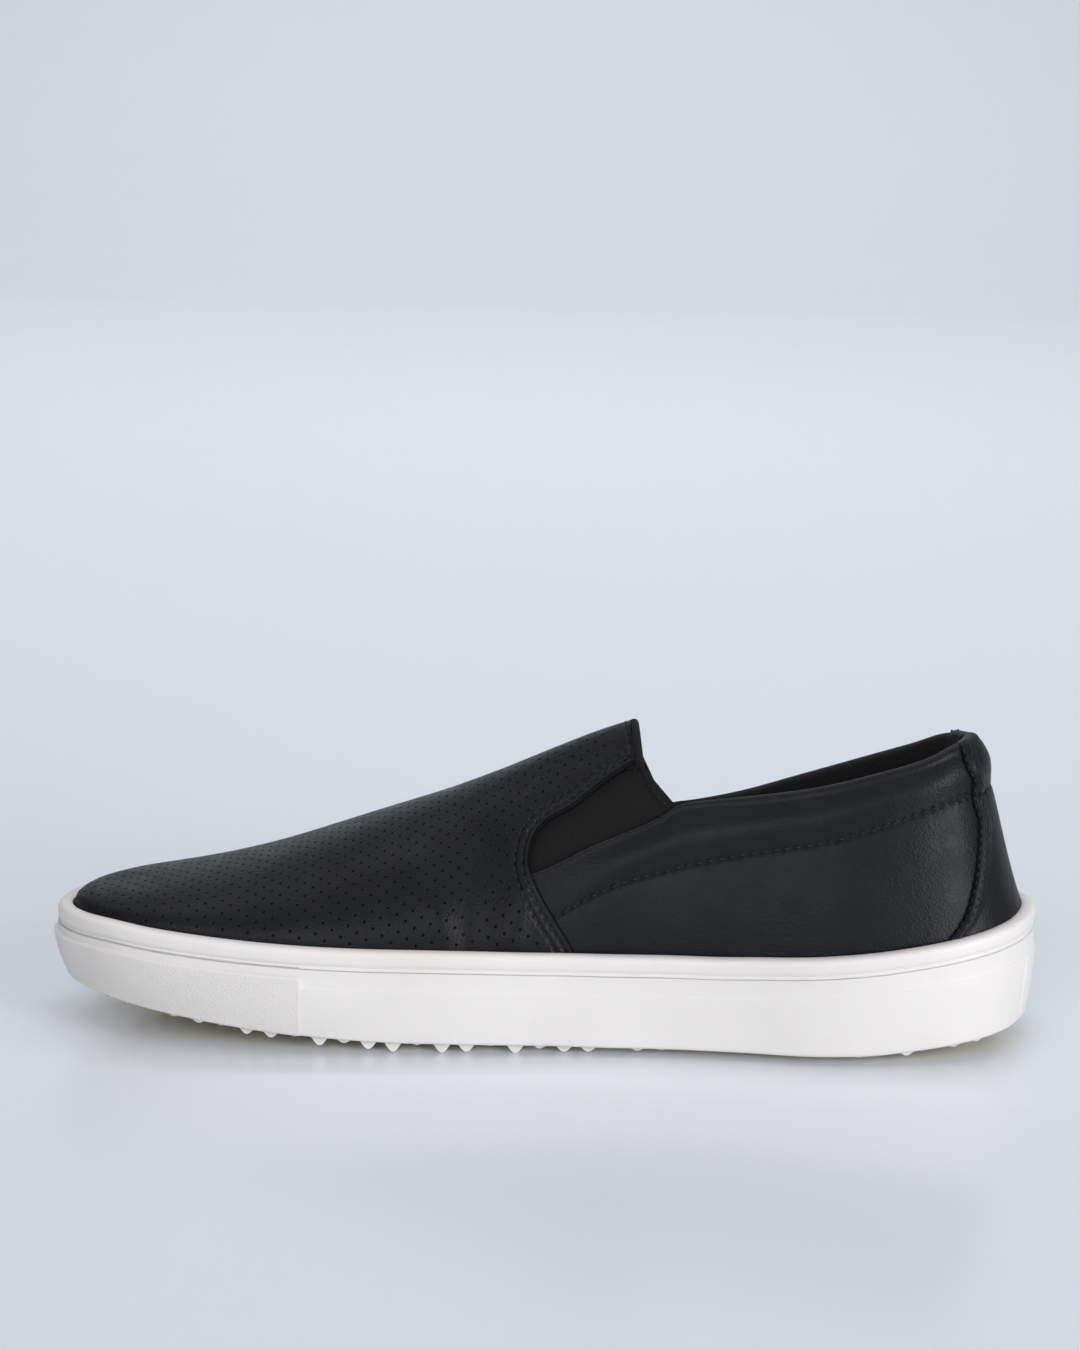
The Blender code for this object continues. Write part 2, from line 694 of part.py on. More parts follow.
def beside_line(line, distance):
    """A line moved to its left by a distance."""
    line = np.array(line)
    run = np.gradient(line, axis=0)
    normal = np.column_stack((-run[:, 1], run[:, 0])) / np.linalg.norm(run, axis=1)[:, None]
    return [tuple(point) for point in line + normal * distance]


CORNER_HEIGHT = INSTEP_HEIGHT * VAMP_EDGE["height"][-1]
SKY = INSTEP_HEIGHT + COLLAR_HEIGHT
BACK = 0.6 * SOLE_LENGTH


def opening_shape(side):
    """All that is cut away: throat, gore gap and collar opening."""
    front = throat_x(CORNER_HEIGHT) - BINDING_WIDTH
    edge = [point for point in vamp_edge(side) if point[0] < front]
    collar = collar_edge(side)[1:]
    shape = [(throat_x(SKY) - BINDING_WIDTH, SKY), (front, CORNER_HEIGHT)]
    return shape + edge[::-1] + collar + [(BACK, collar[-1][1]), (BACK, SKY)]


def quarter_shape(side):
    """The quarters' leather, which lies deeper than the vamp's."""
    drop = NOTCH_DROP if side == "lateral" else 0.0
    seam = bent(list(zip(x_of(VAMP_SEAM["along"]), VAMP_SEAM["height"] * INSTEP_HEIGHT)))
    notch = (seam[0][0] + GAP_INTO, seam[0][1] - drop + GAP_INTO)
    gap_rows = [(x, z - drop + GAP_MIDDLE) for x, z in collar_edge(side)[2:4 * EDGE_STEPS]]
    foot = (seam[-1][0], -SKY)
    return [(gap_rows[-1][0], SKY)] + gap_rows[::-1] + [notch] + seam[1:] + [foot, (BACK, -SKY), (BACK, SKY)]


GAP_INTO = 0.0012           # the quarter's cutter turns inside the notch
GAP_MIDDLE = 0.006          # and runs through the gap this far above the quarter's edge


def gore_shape(side):
    """A gore with the margins that are tucked under vamp and quarter."""
    low, high = CORNER_HEIGHT - CLEARANCE, CORNER_HEIGHT + GORE_TUCK
    front_low, front_high = (throat_x(z) - BINDING_WIDTH - 2 * CLEARANCE for z in (low, high))
    under_vamp = [point for point in beside_line(vamp_edge(side), GORE_TUCK) if point[0] < front_high]
    corner = [(front_high, high), (front_low, low), (throat_x(low), low)]
    collar = collar_edge(side)[:GORE_END_ROW * EDGE_STEPS + 1]
    under_quarter = beside_line(collar, -GORE_TUCK_HEIGHT)
    return under_vamp + corner + [collar[-1]] + under_quarter[::-1]


GORE_END_ROW = 5            # the collar's row where the free edge of a gore ends


def binding_shape():
    """The folded strip over the end of the vamp."""
    low = CORNER_HEIGHT + CLEARANCE
    front = CLEARANCE - BINDING_WIDTH
    foot, top = throat_x(low), throat_x(SKY)
    return [(foot + front, low), (foot, low), (top, SKY), (top + front, SKY)]


def strip_shape():
    """The strip over the back seam, from above the rim to the collar's edge."""
    low = rim_height(STRIP_EDGE["along"]) + STRIP_FOOT
    heights = low + STRIP_EDGE["height"] * (COLLAR_HEIGHT - low)
    edge = bent(list(zip(x_of(STRIP_EDGE["along"]), heights)))
    rows = np.linspace(STRIP_EDGE["along"][0], 1.0, STRIP_FOOT_POINTS)
    foot = list(zip(x_of(rows), rim_height(rows) + STRIP_FOOT))
    collar = [point for point in collar_edge("medial") if point[0] > edge[-1][0]]
    side = [point for point in edge if point[1] < collar[0][1]]
    return side[::-1] + foot[1:] + [(BACK, foot[-1][1]), (BACK, collar[-1][1])] + collar[::-1]


STRIP_FOOT = 0.0022         # over the rim line
STRIP_FOOT_POINTS = 7


def make_upper():
    upper = make_dome("upper", (0.0, False, 0.0), (0.0, True, 0.0), UPPER_LEVELS, "black_leather")
    over, under = 4 * LEATHER_LAP, -LEATHER_LAP
    levels = LAP_LEVELS + tuple(level for level in UPPER_LEVELS if level > 0)
    quarter = make_dome("quarter_cutter", (over, False, over), (under, False, LEATHER_LAP), levels)
    region = prism("quarter_region_cutter", quarter_shape("medial"), quarter_shape("lateral"))
    cut(quarter, region, "INTERSECT")
    cut(upper, prism("opening_cutter", opening_shape("medial"), opening_shape("lateral")))
    cut(upper, quarter)


LAP_LEVELS = (0.0, 0.02)    # between these the quarters' lap runs out above the rim


def make_gore(side):
    turns = [turn for turn in columns() if GORE_TURNS[0] <= turn <= GORE_TURNS[1]]
    levels = [level for level in UPPER_LEVELS if 0.0 < level]
    paths = [[(side, turn, level) for turn in turns] for level in levels]
    outer = (-CLEARANCE, True)
    inner = (-CLEARANCE - GORE_THICKNESS, True)
    gore = make_slab("gore_" + side, paths, outer, inner, "black_elastic")
    shape = gore_shape(side)
    cut(gore, prism("gore_" + side + "_cutter", shape, shape), "INTERSECT")


GORE_TURNS = (0.40, 0.70)


def make_binding():
    turns = [turn for turn in columns() if BINDING_TURNS[0] <= turn <= BINDING_TURNS[1]]
    levels = [level for level in UPPER_LEVELS if level > BINDING_LEVEL]
    across = [("medial", level) for level in levels] + [("medial", 1.0)]
    across += [("lateral", level) for level in levels[::-1]]
    paths = [[(place[0], turn, place[1]) for place in across] for turn in turns]
    outer, inner = (BINDING_SWELL, False), (-BINDING_SWELL, True)
    binding = make_slab("throat_binding", paths, outer, inner, "black_lining")
    shape = binding_shape()
    cut(binding, prism("throat_binding_cutter", shape, shape), "INTERSECT")


BINDING_TURNS = (0.50, 0.68)
BINDING_LEVEL = 0.5


def make_heel_strip():
    turns = [turn for turn in columns() if turn >= STRIP_TURN]
    ends = [("medial", turn) for turn in turns] + [("lateral", turn) for turn in turns[-2::-1]]
    levels = [level for level in UPPER_LEVELS if 0.0 <= level < STRIP_LEVEL]
    paths = [[(side, turn, level) for side, turn in ends] for level in levels]
    under = CLEARANCE - LEATHER_LAP
    strip = make_slab("heel_strip", paths, (under + STRIP_THICKNESS, False), (under, False), "black_leather")
    shape = strip_shape()
    cut(strip, prism("heel_strip_cutter", shape, shape), "INTERSECT")


STRIP_TURN = 0.84
STRIP_LEVEL = 0.7


# The sole

RIM_CREST = -CUP_SIDE["level"].min() * RIM_BEAD_DROP


def bumper_turns():
    """Places of the outline right before and behind the end of the toe bumper, on both sides."""
    found = []
    for side in ("medial", "lateral"):
        share, line = SIDES[side]
        turn = float(np.interp(BUMPER_LENGTH - SOLE_LENGTH / 2, line[:, 0], share))
        found += [turn - BUMPER_EDGE, turn + BUMPER_EDGE]
    return found


BUMPER_EDGE = 0.0004
COLUMN_SPACE = 0.0016       # least distance of any other column from them


def cup_columns():
    """The upper's columns, and those at the ends of the toe bumper."""
    own = bumper_turns()
    shared = [turn for turn in columns() if min(abs(turn - extra) for extra in own) > COLUMN_SPACE]
    return np.array(sorted(shared + own))


def sole_loop(turns, make_row):
    """A loop of the sole. make_row gives how far out of the outline it lies and its height."""
    def make_side(side, at):
        foot = outline(side, at)
        along = along_of(foot[:, 0])
        bumper = (foot[:, 0] < BUMPER_LENGTH - SOLE_LENGTH / 2).astype(float)
        out, height = make_row(along, bumper)
        plan = foot + outward(side, at) * np.broadcast_to(out, len(at))[:, None]
        return np.column_stack((plan, np.broadcast_to(height, len(at))))
    return around(turns, make_side)


def level_height(level, along, bumper):
    """Height at a level of the cup's side: 0 rim, 1 groove, 2 step line, 3 lower edge."""
    rim = rim_height(along)
    step = rim - np.where(bumper > 0, BUMPER_DROP, BAND_DROP)
    heights = (rim, rim - RIM_BEAD_DROP, step, edge_height(along))
    below = max(min(int(math.floor(level)), 2), 0)
    return heights[below] + (heights[below + 1] - heights[below]) * (level - below)


def cup_rows():
    """Rows of the cup from its cavity over the rim and down its side to the seat of the tread."""
    rows = [
        lambda along, bumper: (CLEARANCE, rim_height(along) - CUP_DEPTH),
        lambda along, bumper: (CLEARANCE, rim_height(along) - RIM_CREST),
    ]
    for out, level in zip(CUP_SIDE["out"], CUP_SIDE["level"]):
        proud = BUMPER_STEP if level >= 2 else 0.0
        rows.append(lambda along, bumper, out=out, level=level, proud=proud: (
            out * CUP_WALL + proud * bumper, level_height(level, along, bumper)))
    for level in LOWER_SIDE_LEVELS + (3.0,):
        part = level - 2.0
        rows.append(lambda along, bumper, part=part: (
            side_reach(along, bumper, part), lower_side_height(along, bumper, part)))
    rows.append(lambda along, bumper: (side_reach(along, bumper, 1.0) - EDGE_CORNER * EDGE_ROUND,
                                       edge_height(along) + EDGE_CORNER * EDGE_ROUND))
    rows.append(lambda along, bumper: (side_reach(along, bumper, 1.0) - EDGE_ROUND, edge_height(along)))
    rows.append(lambda along, bumper: (side_reach(along, 0.0, 1.0) - RECESS_INSET, edge_height(along)))
    rows.append(lambda along, bumper: (side_reach(along, 0.0, 1.0) - RECESS_INSET,
                                       edge_height(along) + RECESS_DEPTH))
    return rows


def side_reach(along, bumper, part):
    """How far the cup's side stands out between the step line and its foot."""
    top = STEP_REACH * CUP_WALL + BUMPER_STEP * bumper
    foot = smooth(SOLE_LINES, "flare", along) * CUP_WALL + BUMPER_FOOT * BUMPER_STEP * bumper
    return top + (foot - top) * part ** SIDE_BELLY


def lower_side_height(along, bumper, part):
    step = level_height(2.0, along, bumper)
    return step + (edge_height(along) + EDGE_ROUND - step) * part


def make_cupsole():
    turns = cup_columns()
    loops = [sole_loop(turns, row) for row in cup_rows()]
    size, count = len(loops[0]), len(turns) - 1
    faces = across_faces(0, count) + loft(loops) + across_faces((len(loops) - 1) * size, count)
    make_object("cupsole", np.vstack(loops), faces, "white_rubber", sharp_degrees=32)


# Rows of the insole's margin: shares of its width and of its height
INSOLE_TOP = ((0.0, 1.0), (0.4, 0.7), (1.0, 0.0))


def make_insole():
    turns = columns()
    edge = -UPPER_WALL - CLEARANCE
    rows = [lambda along, bumper: (edge, seat_height(along))]
    for inward, higher in INSOLE_TOP:
        rows.append(lambda along, bumper, inward=inward, higher=higher: (
            edge - inward * INSOLE_MARGIN, seat_height(along) + INSOLE_THICKNESS + higher * INSOLE_DISH))
    loops = [sole_loop(turns, row) for row in rows]
    size, count = len(loops[0]), len(turns) - 1
    faces = across_faces(0, count) + loft(loops) + across_faces((len(loops) - 1) * size, count)
    make_object("insole", np.vstack(loops), faces, "black_lining")


# Rows of one lug along the shoe, as shares of the pitch, and whether each lies on the lug's tip
LUG_ROWS = ((0.00, 0), (0.20, 1), (0.52, 1), (0.72, 0))
LUG_ZIGZAG = (0.0, -1.0, 0.0, -1.0, 0.0)
TREAD_END = 0.6             # smooth ends of the tread, as a share of the pitch
ZIGZAG_FADE = 3.0           # lugs over which the zigzag sets in at either end


TREAD_SIDE_POINTS = 241


def tread_side(side):
    """Edge of the tread in plan, X and Y from toe to heel."""
    turns = np.linspace(0, 1, TREAD_SIDE_POINTS)
    foot = outline(side, turns)
    reach = side_reach(along_of(foot[:, 0]), 0.0, 1.0) - RECESS_INSET - 2 * CLEARANCE
    return foot + outward(side, turns) * reach[:, None]


def make_outsole():
    medial, lateral = tread_side("medial"), tread_side("lateral")
    start, end = medial[0], medial[-1]
    first, last = start[0] + TREAD_END * LUG_PITCH, end[0] - TREAD_END * LUG_PITCH
    fade = ZIGZAG_FADE * LUG_PITCH
    lugs = int((last - first) / LUG_PITCH)
    margin = 0.5 * (last - first - (lugs - 1 + LUG_ROWS[-1][0]) * LUG_PITCH)
    points, rows = [], []
    for lug in range(lugs):
        for share, on_tip in LUG_ROWS:
            x = first + margin + (lug + share) * LUG_PITCH
            along = along_of(x)
            height = tread_height(along) if on_tip else edge_height(along) + CLEARANCE
            low = np.interp(x, medial[:, 0], medial[:, 1])
            high = np.interp(x, lateral[:, 0], lateral[:, 1])
            sweep = LUG_SWEEP * ease((x - first) / fade) * ease((last - x) / fade)
            row = []
            for column, zigzag in enumerate(LUG_ZIGZAG):
                row.append(len(points))
                y = low + (high - low) * column / (len(LUG_ZIGZAG) - 1)
                points.append((x + sweep * zigzag, y, height))
            plate = edge_height(along) + RECESS_DEPTH - CLEARANCE
            row += [len(points), len(points) + 1]
            points += [(x, low, plate), (x, high, plate)]
            rows.append(row)
    faces = []
    width = len(LUG_ZIGZAG)
    for here, there in zip(rows, rows[1:]):
        for column in range(width - 1):
            faces.append((here[column], there[column], there[column + 1], here[column + 1]))
        faces.append((here[width], here[width + 1], there[width + 1], there[width]))
        faces.append((here[0], here[width], there[width], there[0]))
        faces.append((here[width - 1], there[width - 1], there[width + 1], here[width + 1]))
    for tip, row in ((start, rows[0]), (end, rows[-1])):
        along = along_of(tip[0])
        bottom = len(points)
        points.append((tip[0], tip[1], edge_height(along) + CLEARANCE))
        points.append((tip[0], tip[1], edge_height(along) + RECESS_DEPTH - CLEARANCE))
        for column in range(width - 1):
            faces.append((bottom, row[column], row[column + 1]))
        faces.append((bottom + 1, row[width], row[width + 1]))
        faces.append((bottom, bottom + 1, row[width], row[0]))
        faces.append((bottom, bottom + 1, row[width + 1], row[width - 1]))
    make_object("outsole", points, faces, "tread_rubber", sharp_degrees=30)


def clear_scene():
    for item in list(bpy.data.objects):
        bpy.data.objects.remove(item, do_unlink=True)


clear_scene()
MATERIAL = {name: make_material(name) for name in MATERIALS}
make_cupsole()
make_outsole()
make_insole()
make_upper()
make_gore("medial")
make_gore("lateral")
make_heel_strip()
make_binding()
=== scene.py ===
"""Looks of the slip-on sneaker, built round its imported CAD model.

The pieces follow the same last as the CAD solids, whose sizes and tables are repeated here in metres: the toe
points to -X, the medial side to -Y. A place on the upper is a side, a share of the outline from toe to heel
(turn) and a share of the way from the rim to the crown (level).
"""
import math
import bmesh
import bpy
import numpy as np
from mathutils import Matrix, Vector
from mathutils.bvhtree import BVHTree
from mathutils.geometry import delaunay_2d_cdt


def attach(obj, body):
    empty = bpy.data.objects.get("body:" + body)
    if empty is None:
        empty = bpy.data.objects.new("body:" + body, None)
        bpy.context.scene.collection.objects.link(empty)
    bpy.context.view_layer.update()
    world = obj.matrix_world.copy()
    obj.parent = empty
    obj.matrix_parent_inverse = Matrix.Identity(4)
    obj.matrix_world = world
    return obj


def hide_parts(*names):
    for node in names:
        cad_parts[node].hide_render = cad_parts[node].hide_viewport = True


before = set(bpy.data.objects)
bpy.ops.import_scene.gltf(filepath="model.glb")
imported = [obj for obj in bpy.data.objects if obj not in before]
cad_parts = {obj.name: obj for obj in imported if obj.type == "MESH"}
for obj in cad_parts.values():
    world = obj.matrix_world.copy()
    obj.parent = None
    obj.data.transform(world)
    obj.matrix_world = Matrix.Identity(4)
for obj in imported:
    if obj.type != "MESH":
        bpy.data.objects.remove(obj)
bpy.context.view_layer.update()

MM = 0.001

# Driving sizes
SOLE_LENGTH = 0.300
BALL_WIDTH = 0.095          # of the upper where it meets the rim
HEEL_WIDTH = 0.068          # of the upper where it meets the rim
RIM_HEIGHT = 0.0306         # top of the cup at the waist, over the floor
RIM_RISE = 0.010            # how far the rim climbs to toe and heel
INSTEP_HEIGHT = 0.094       # end of the vamp over the floor
COLLAR_HEIGHT = 0.0935      # top of the heel over the floor
TOE_SPRING = 0.0125
HEEL_SPRING = 0.0058
ARCH_LIFT = 0.0009          # of the tread under the waist
LUG_DEPTH = 0.0026          # how far the tread reaches below the cup's side
LUG_PITCH = 0.0073
LUG_SWEEP = 0.0050          # how far a lug zigzags along the shoe
CUP_WALL = 0.0050           # from the upper to the outer side of the cup
CUP_DEPTH = 0.0130          # of the cup's cavity below its rim
RIM_BEAD_DROP = 0.0046      # from the rim down to the groove
BAND_DROP = 0.0113          # from the rim down to the step line
BUMPER_DROP = 0.0078        # from the rim down to the top of the toe bumper
BUMPER_STEP = 0.0009        # how far the toe bumper stands proud
BUMPER_LENGTH = 0.0775
RECESS_DEPTH = 0.0026       # seat of the tread in the underside of the cup
RECESS_INSET = 0.0024       # lip round it, at the foot of the side
INSOLE_THICKNESS = 0.0045
INSOLE_DISH = 0.0012        # how much higher its margin stands
INSOLE_MARGIN = 0.009       # width of that margin
UPPER_WALL = 0.0026         # leather and lining of the vamp
LEATHER_LAP = 0.0008        # the quarters lie this much deeper than the vamp
COLLAR_PUFF = 0.0014        # padding that swells outward
COLLAR_PAD = 0.0034         # padding that swells inward
GORE_THICKNESS = 0.0012
BINDING_WIDTH = 0.0050
CLEARANCE = 0.0003          # between pieces that touch

# Where the upper's outline ends, inside the ends of the sole
STEP_REACH = 1.02           # reach of the cup's step line, as a share of CUP_WALL
TOE_INSET = STEP_REACH * CUP_WALL + BUMPER_STEP
HEEL_INSET = STEP_REACH * CUP_WALL
FEATHER_LENGTH = SOLE_LENGTH - TOE_INSET - HEEL_INSET

CURVE_STEPS = 24
NEAR = 1e-4                 # shares of the outline this close to a tip are that tip


def table(columns, *rows):
    """Named columns of a table that is written row by row."""
    return dict(zip(columns.split(), (np.array(column, float) for column in zip(*rows))))


# Half widths of the upper at the rim, as shares of the ball's width, or of the heel's width behind the
# waist. The toe's tip lies on the medial side of the middle.
PLAN = table(
    "along medial lateral",
    (0.000, 0.060, -0.060),
    (0.012, 0.148, 0.090),
    (0.042, 0.226, 0.200),
    (0.085, 0.283, 0.292),
    (0.150, 0.323, 0.395),
    (0.230, 0.350, 0.505),
    (0.300, 0.354, 0.595),
    (0.380, 0.338, 0.640),
    (0.460, 0.320, 0.652),
    (0.540, 0.322, 0.628),
    (0.620, 0.360, 0.620),
    (0.700, 0.432, 0.585),
    (0.780, 0.490, 0.522),
    (0.850, 0.482, 0.468),
    (0.910, 0.438, 0.414),
    (0.955, 0.352, 0.326),
    (0.985, 0.215, 0.196),
    (1.000, 0.000, 0.000),
)
WAIST_BLEND = (0.45, 0.75)  # the width unit passes from the ball to the heel here

# rim: climb of the rim, as a share of RIM_RISE. toe and heel: lift of the side's lower edge, as shares of
# the two springs. tread: lift of the lug tips, as a share of TOE_SPRING in front and HEEL_SPRING behind.
# arch: share of ARCH_LIFT. flare: reach of the lower edge, as a share of CUP_WALL.
SOLE_LINES = table(
    "along rim toe heel tread arch flare",
    (0.000, 0.62, 1.00, 0.00, 0.82, 0.0, 0.40),
    (0.042, 0.62, 0.84, 0.00, 0.68, 0.0, 0.35),
    (0.100, 0.49, 0.63, 0.00, 0.50, 0.0, 0.35),
    (0.170, 0.34, 0.42, 0.00, 0.31, 0.0, 0.45),
    (0.250, 0.23, 0.24, 0.00, 0.14, 0.0, 0.50),
    (0.330, 0.16, 0.12, 0.00, 0.02, 0.0, 0.60),
    (0.360, 0.14, 0.09, 0.00, 0.00, 0.0, 0.65),
    (0.500, 0.04, 0.03, 0.00, 0.00, 0.0, 0.80),
    (0.580, 0.00, 0.00, 0.00, 0.00, 1.0, 0.95),
    (0.660, 0.01, 0.00, 0.00, 0.00, 1.0, 0.95),
    (0.730, 0.10, 0.00, 0.00, 0.00, 0.0, 0.90),
    (0.830, 0.34, 0.00, 0.08, 0.00, 0.0, 0.80),
    (0.870, 0.49, 0.00, 0.26, 0.12, 0.0, 0.75),
    (0.930, 0.75, 0.00, 0.58, 0.36, 0.0, 0.75),
    (0.970, 0.94, 0.00, 0.80, 0.56, 0.0, 0.75),
    (1.000, 1.08, 0.00, 1.00, 0.74, 0.0, 0.75),
)

# The crown of each section: height as a share of INSTEP_HEIGHT, sideways place as a share of BALL_WIDTH.
# lean, rise and flat shape the side below it: how far it leans in, rises before it turns, and runs flat on
# top. tuck: how much more the lateral side leans in and how much less it runs flat. Behind the throat the
# crown is a line above the opening, which only gives the quarters their lean.
CROWN = table(
    "along height across lean rise flat tuck",
    (0.050, 0.450, -0.125, 0.01, 0.84, 0.55, 0.00),
    (0.140, 0.492, -0.105, 0.02, 0.62, 0.55, 0.00),
    (0.200, 0.534, -0.085, 0.03, 0.55, 0.55, 0.00),
    (0.260, 0.590, -0.063, 0.04, 0.52, 0.55, 0.00),
    (0.330, 0.663, -0.042, 0.05, 0.50, 0.52, 0.00),
    (0.390, 0.729, -0.032, 0.06, 0.48, 0.48, 0.00),
    (0.450, 0.807, -0.030, 0.07, 0.46, 0.44, 0.00),
    (0.515, 0.901, -0.035, 0.08, 0.45, 0.42, 0.01),
    (0.560, 0.962, -0.042, 0.09, 0.44, 0.42, 0.03),
    (0.605, 1.010, -0.055, 0.09, 0.43, 0.42, 0.07),
    (0.680, 1.045, -0.080, 0.11, 0.40, 0.47, 0.12),
    (0.760, 1.085, -0.110, 0.14, 0.38, 0.50, 0.09),
    (0.870, 1.220, -0.140, 0.28, 0.34, 0.56, 0.03),
)
TOE_TOP = 0.050             # the crown starts this far behind the toe
TOE_FADE = 0.26
HEEL_TOP = 0.131            # and ends this far before the heel
HEEL_FADE = 0.32

# Side view. Heights of the vamp's edge beside the gore are shares of INSTEP_HEIGHT, from the notch, where
# the vamp meets the quarter, up to the throat. In lateral view the notch lies lower.
VAMP_EDGE = table(
    "along height drop",
    (0.4815, 0.558, 1.0),
    (0.4780, 0.596, 1.0),
    (0.4795, 0.640, 0.9),
    (0.4855, 0.686, 0.8),
    (0.4990, 0.724, 0.6),
    (0.5205, 0.761, 0.4),
    (0.5510, 0.830, 0.2),
    (0.5780, 0.886, 0.0),
)
NOTCH_DROP = 0.0030
THROAT_TOP = 0.5890         # along, where the end of the vamp crosses the crown
THROAT_LEAN = 0.16          # how much further back it lies for each step down

# Seam of vamp and quarter from the notch down into the cup, heights as shares of INSTEP_HEIGHT
VAMP_SEAM = table(
    "along height",
    (0.4815, 0.558),
    (0.4860, 0.530),
    (0.5050, 0.436),
    (0.5270, 0.330),
    (0.5460, 0.200),
)

# The collar in side view, heights as shares of COLLAR_HEIGHT. top: medial edge of the quarter, from the
# notch to the heel. seam: stitched lower edge of the padded band. drop: how much lower the lateral edge is.
COLLAR = table(
    "along top seam drop",
    (0.4815, 0.561, 0.420, 0.032),
    (0.5040, 0.589, 0.438, 0.047),
    (0.5420, 0.646, 0.500, 0.077),
    (0.5780, 0.692, 0.548, 0.105),
    (0.6180, 0.750, 0.585, 0.128),
    (0.6320, 0.780, 0.597, 0.134),
    (0.6600, 0.798, 0.618, 0.126),
    (0.7050, 0.818, 0.650, 0.101),
    (0.7720, 0.855, 0.690, 0.058),
    (0.8450, 0.913, 0.750, 0.033),
    (0.8860, 0.948, 0.795, 0.022),
    (0.9250, 0.990, 0.828, 0.010),
    (0.9560, 1.004, 0.836, 0.000),
    (1.0000, 0.985, 0.830, 0.000),
)
SEAM_DROP = 0.7             # the lateral seam drops by this share of the edge's drop
PUFF_FADE = (0.50, 0.62)    # the padding sets in between these places along the shoe
PAD_FADE = (0.61, 0.73)
PAD_START = -0.25           # padding inside, as shares of the band's height
PAD_FULL = 0.45
PAD_END = 1.35
PAD_THINS = 0.65            # and how much thinner it is at its end

# The free edge of a gore runs from the throat's corner to the front of the collar
GORE_TUCK = 0.0065          # hidden under the leather round the gap
GORE_TUCK_HEIGHT = 0.0075

# Front edge of the heel strip in side view. height: share of the way from the strip's foot to COLLAR_HEIGHT
STRIP_EDGE = table(
    "along height",
    (0.8900, 0.000),
    (0.9090, 0.025),
    (0.9300, 0.120),
    (0.9410, 0.330),
    (0.9440, 0.540),
    (0.9360, 0.700),
    (0.9370, 0.770),
    (0.9280, 0.885),
    (0.9150, 1.170),
)

EDGE_ROUND = 0.0012         # radius at the foot of the side
SIDE_BELLY = 1.6            # above 1 the side runs straight first and turns in near its foot
BUMPER_FOOT = 0.6           # share of the bumper's step that is left at the side's foot


def slopes(where, values):
    """Slopes of a curve through the values that never overshoots them."""
    run = np.diff(where)
    rise = np.diff(values) / run
    inner = np.zeros(len(values))
    same_way = rise[:-1] * rise[1:] > 0
    front, back = rise[:-1][same_way], rise[1:][same_way]
    weight_front = (run[:-1] + 2 * run[1:])[same_way]
    weight_back = (2 * run[:-1] + run[1:])[same_way]
    inner[1:-1][same_way] = (weight_front + weight_back) / (weight_front / front + weight_back / back)
    inner[0], inner[-1] = rise[0], rise[-1]
    return inner


def smooth(rows, column, where):
    """A table's column read on a smooth curve, at one place or at many."""
    known, values = rows["along"], rows[column]
    at = np.clip(np.asarray(where, float), known[0], known[-1])
    slope = slopes(known, values)
    row = np.clip(np.searchsorted(known, at, side="right") - 1, 0, len(known) - 2)
    run = known[row + 1] - known[row]
    part = (at - known[row]) / run
    start = (1 + 2 * part) * (1 - part) ** 2 * values[row] + part * (1 - part) ** 2 * run * slope[row]
    end = part ** 2 * (3 - 2 * part) * values[row + 1] + part ** 2 * (part - 1) * run * slope[row + 1]
    return start + end


def ease(part):
    """Smooth step from 0 to 1."""
    part = np.clip(part, 0.0, 1.0)
    return part * part * (3 - 2 * part)


def rounded_loop(corners):
    """A closed curve through points in a plane, evenly bent between near and far neighbours."""
    corners = np.array(corners, float)
    count = len(corners)
    pieces = []
    for index in range(count):
        before, start, end, after = (corners[(index + shift) % count] for shift in (-1, 0, 1, 2))
        knot_1 = math.dist(before, start) ** 0.5
        knot_2 = knot_1 + math.dist(start, end) ** 0.5
        knot_3 = knot_2 + math.dist(end, after) ** 0.5
        at = np.linspace(knot_1, knot_2, CURVE_STEPS, endpoint=False)[:, None]
        first = ((knot_1 - at) * before + at * start) / knot_1
        second = ((knot_2 - at) * start + (at - knot_1) * end) / (knot_2 - knot_1)
        third = ((knot_3 - at) * end + (at - knot_2) * after) / (knot_3 - knot_2)
        front = ((knot_2 - at) * first + at * second) / knot_2
        back = ((knot_3 - at) * second + (at - knot_1) * third) / (knot_3 - knot_1)
        pieces.append(((knot_2 - at) * front + (at - knot_1) * back) / (knot_2 - knot_1))
    return np.vstack(pieces)


def plan_sides():
    """The upper's outline at the rim, toe to heel, for the medial and the lateral side."""
    along = PLAN["along"]
    blend = ease((along - WAIST_BLEND[0]) / (WAIST_BLEND[1] - WAIST_BLEND[0]))
    width = BALL_WIDTH + (HEEL_WIDTH - BALL_WIDTH) * blend
    x = TOE_INSET + along * FEATHER_LENGTH - SOLE_LENGTH / 2
    medial = np.column_stack((x, -PLAN["medial"] * width))
    lateral = np.column_stack((x, PLAN["lateral"] * width))
    loop = rounded_loop(np.vstack((medial, lateral[-2:0:-1])))
    heel = (len(along) - 1) * CURVE_STEPS
    sides = (loop[:heel + 1], np.vstack((loop[heel:], loop[:1]))[::-1])
    middle = 0.5 * (loop[:, 1].min() + loop[:, 1].max())
    found = {}
    for name, line in zip(("medial", "lateral"), sides):
        line = line - np.array((0.0, middle))
        steps = np.hypot(*np.diff(line, axis=0).T)
        reach = np.concatenate(((0.0,), np.cumsum(steps)))
        found[name] = (reach / reach[-1], line)
    return found


SIDES = plan_sides()


def outline(side, turn):
    """Points of the outline at shares of its length from toe tip to heel tip."""
    share, line = SIDES[side]
    return np.column_stack((np.interp(turn, share, line[:, 0]), np.interp(turn, share, line[:, 1])))


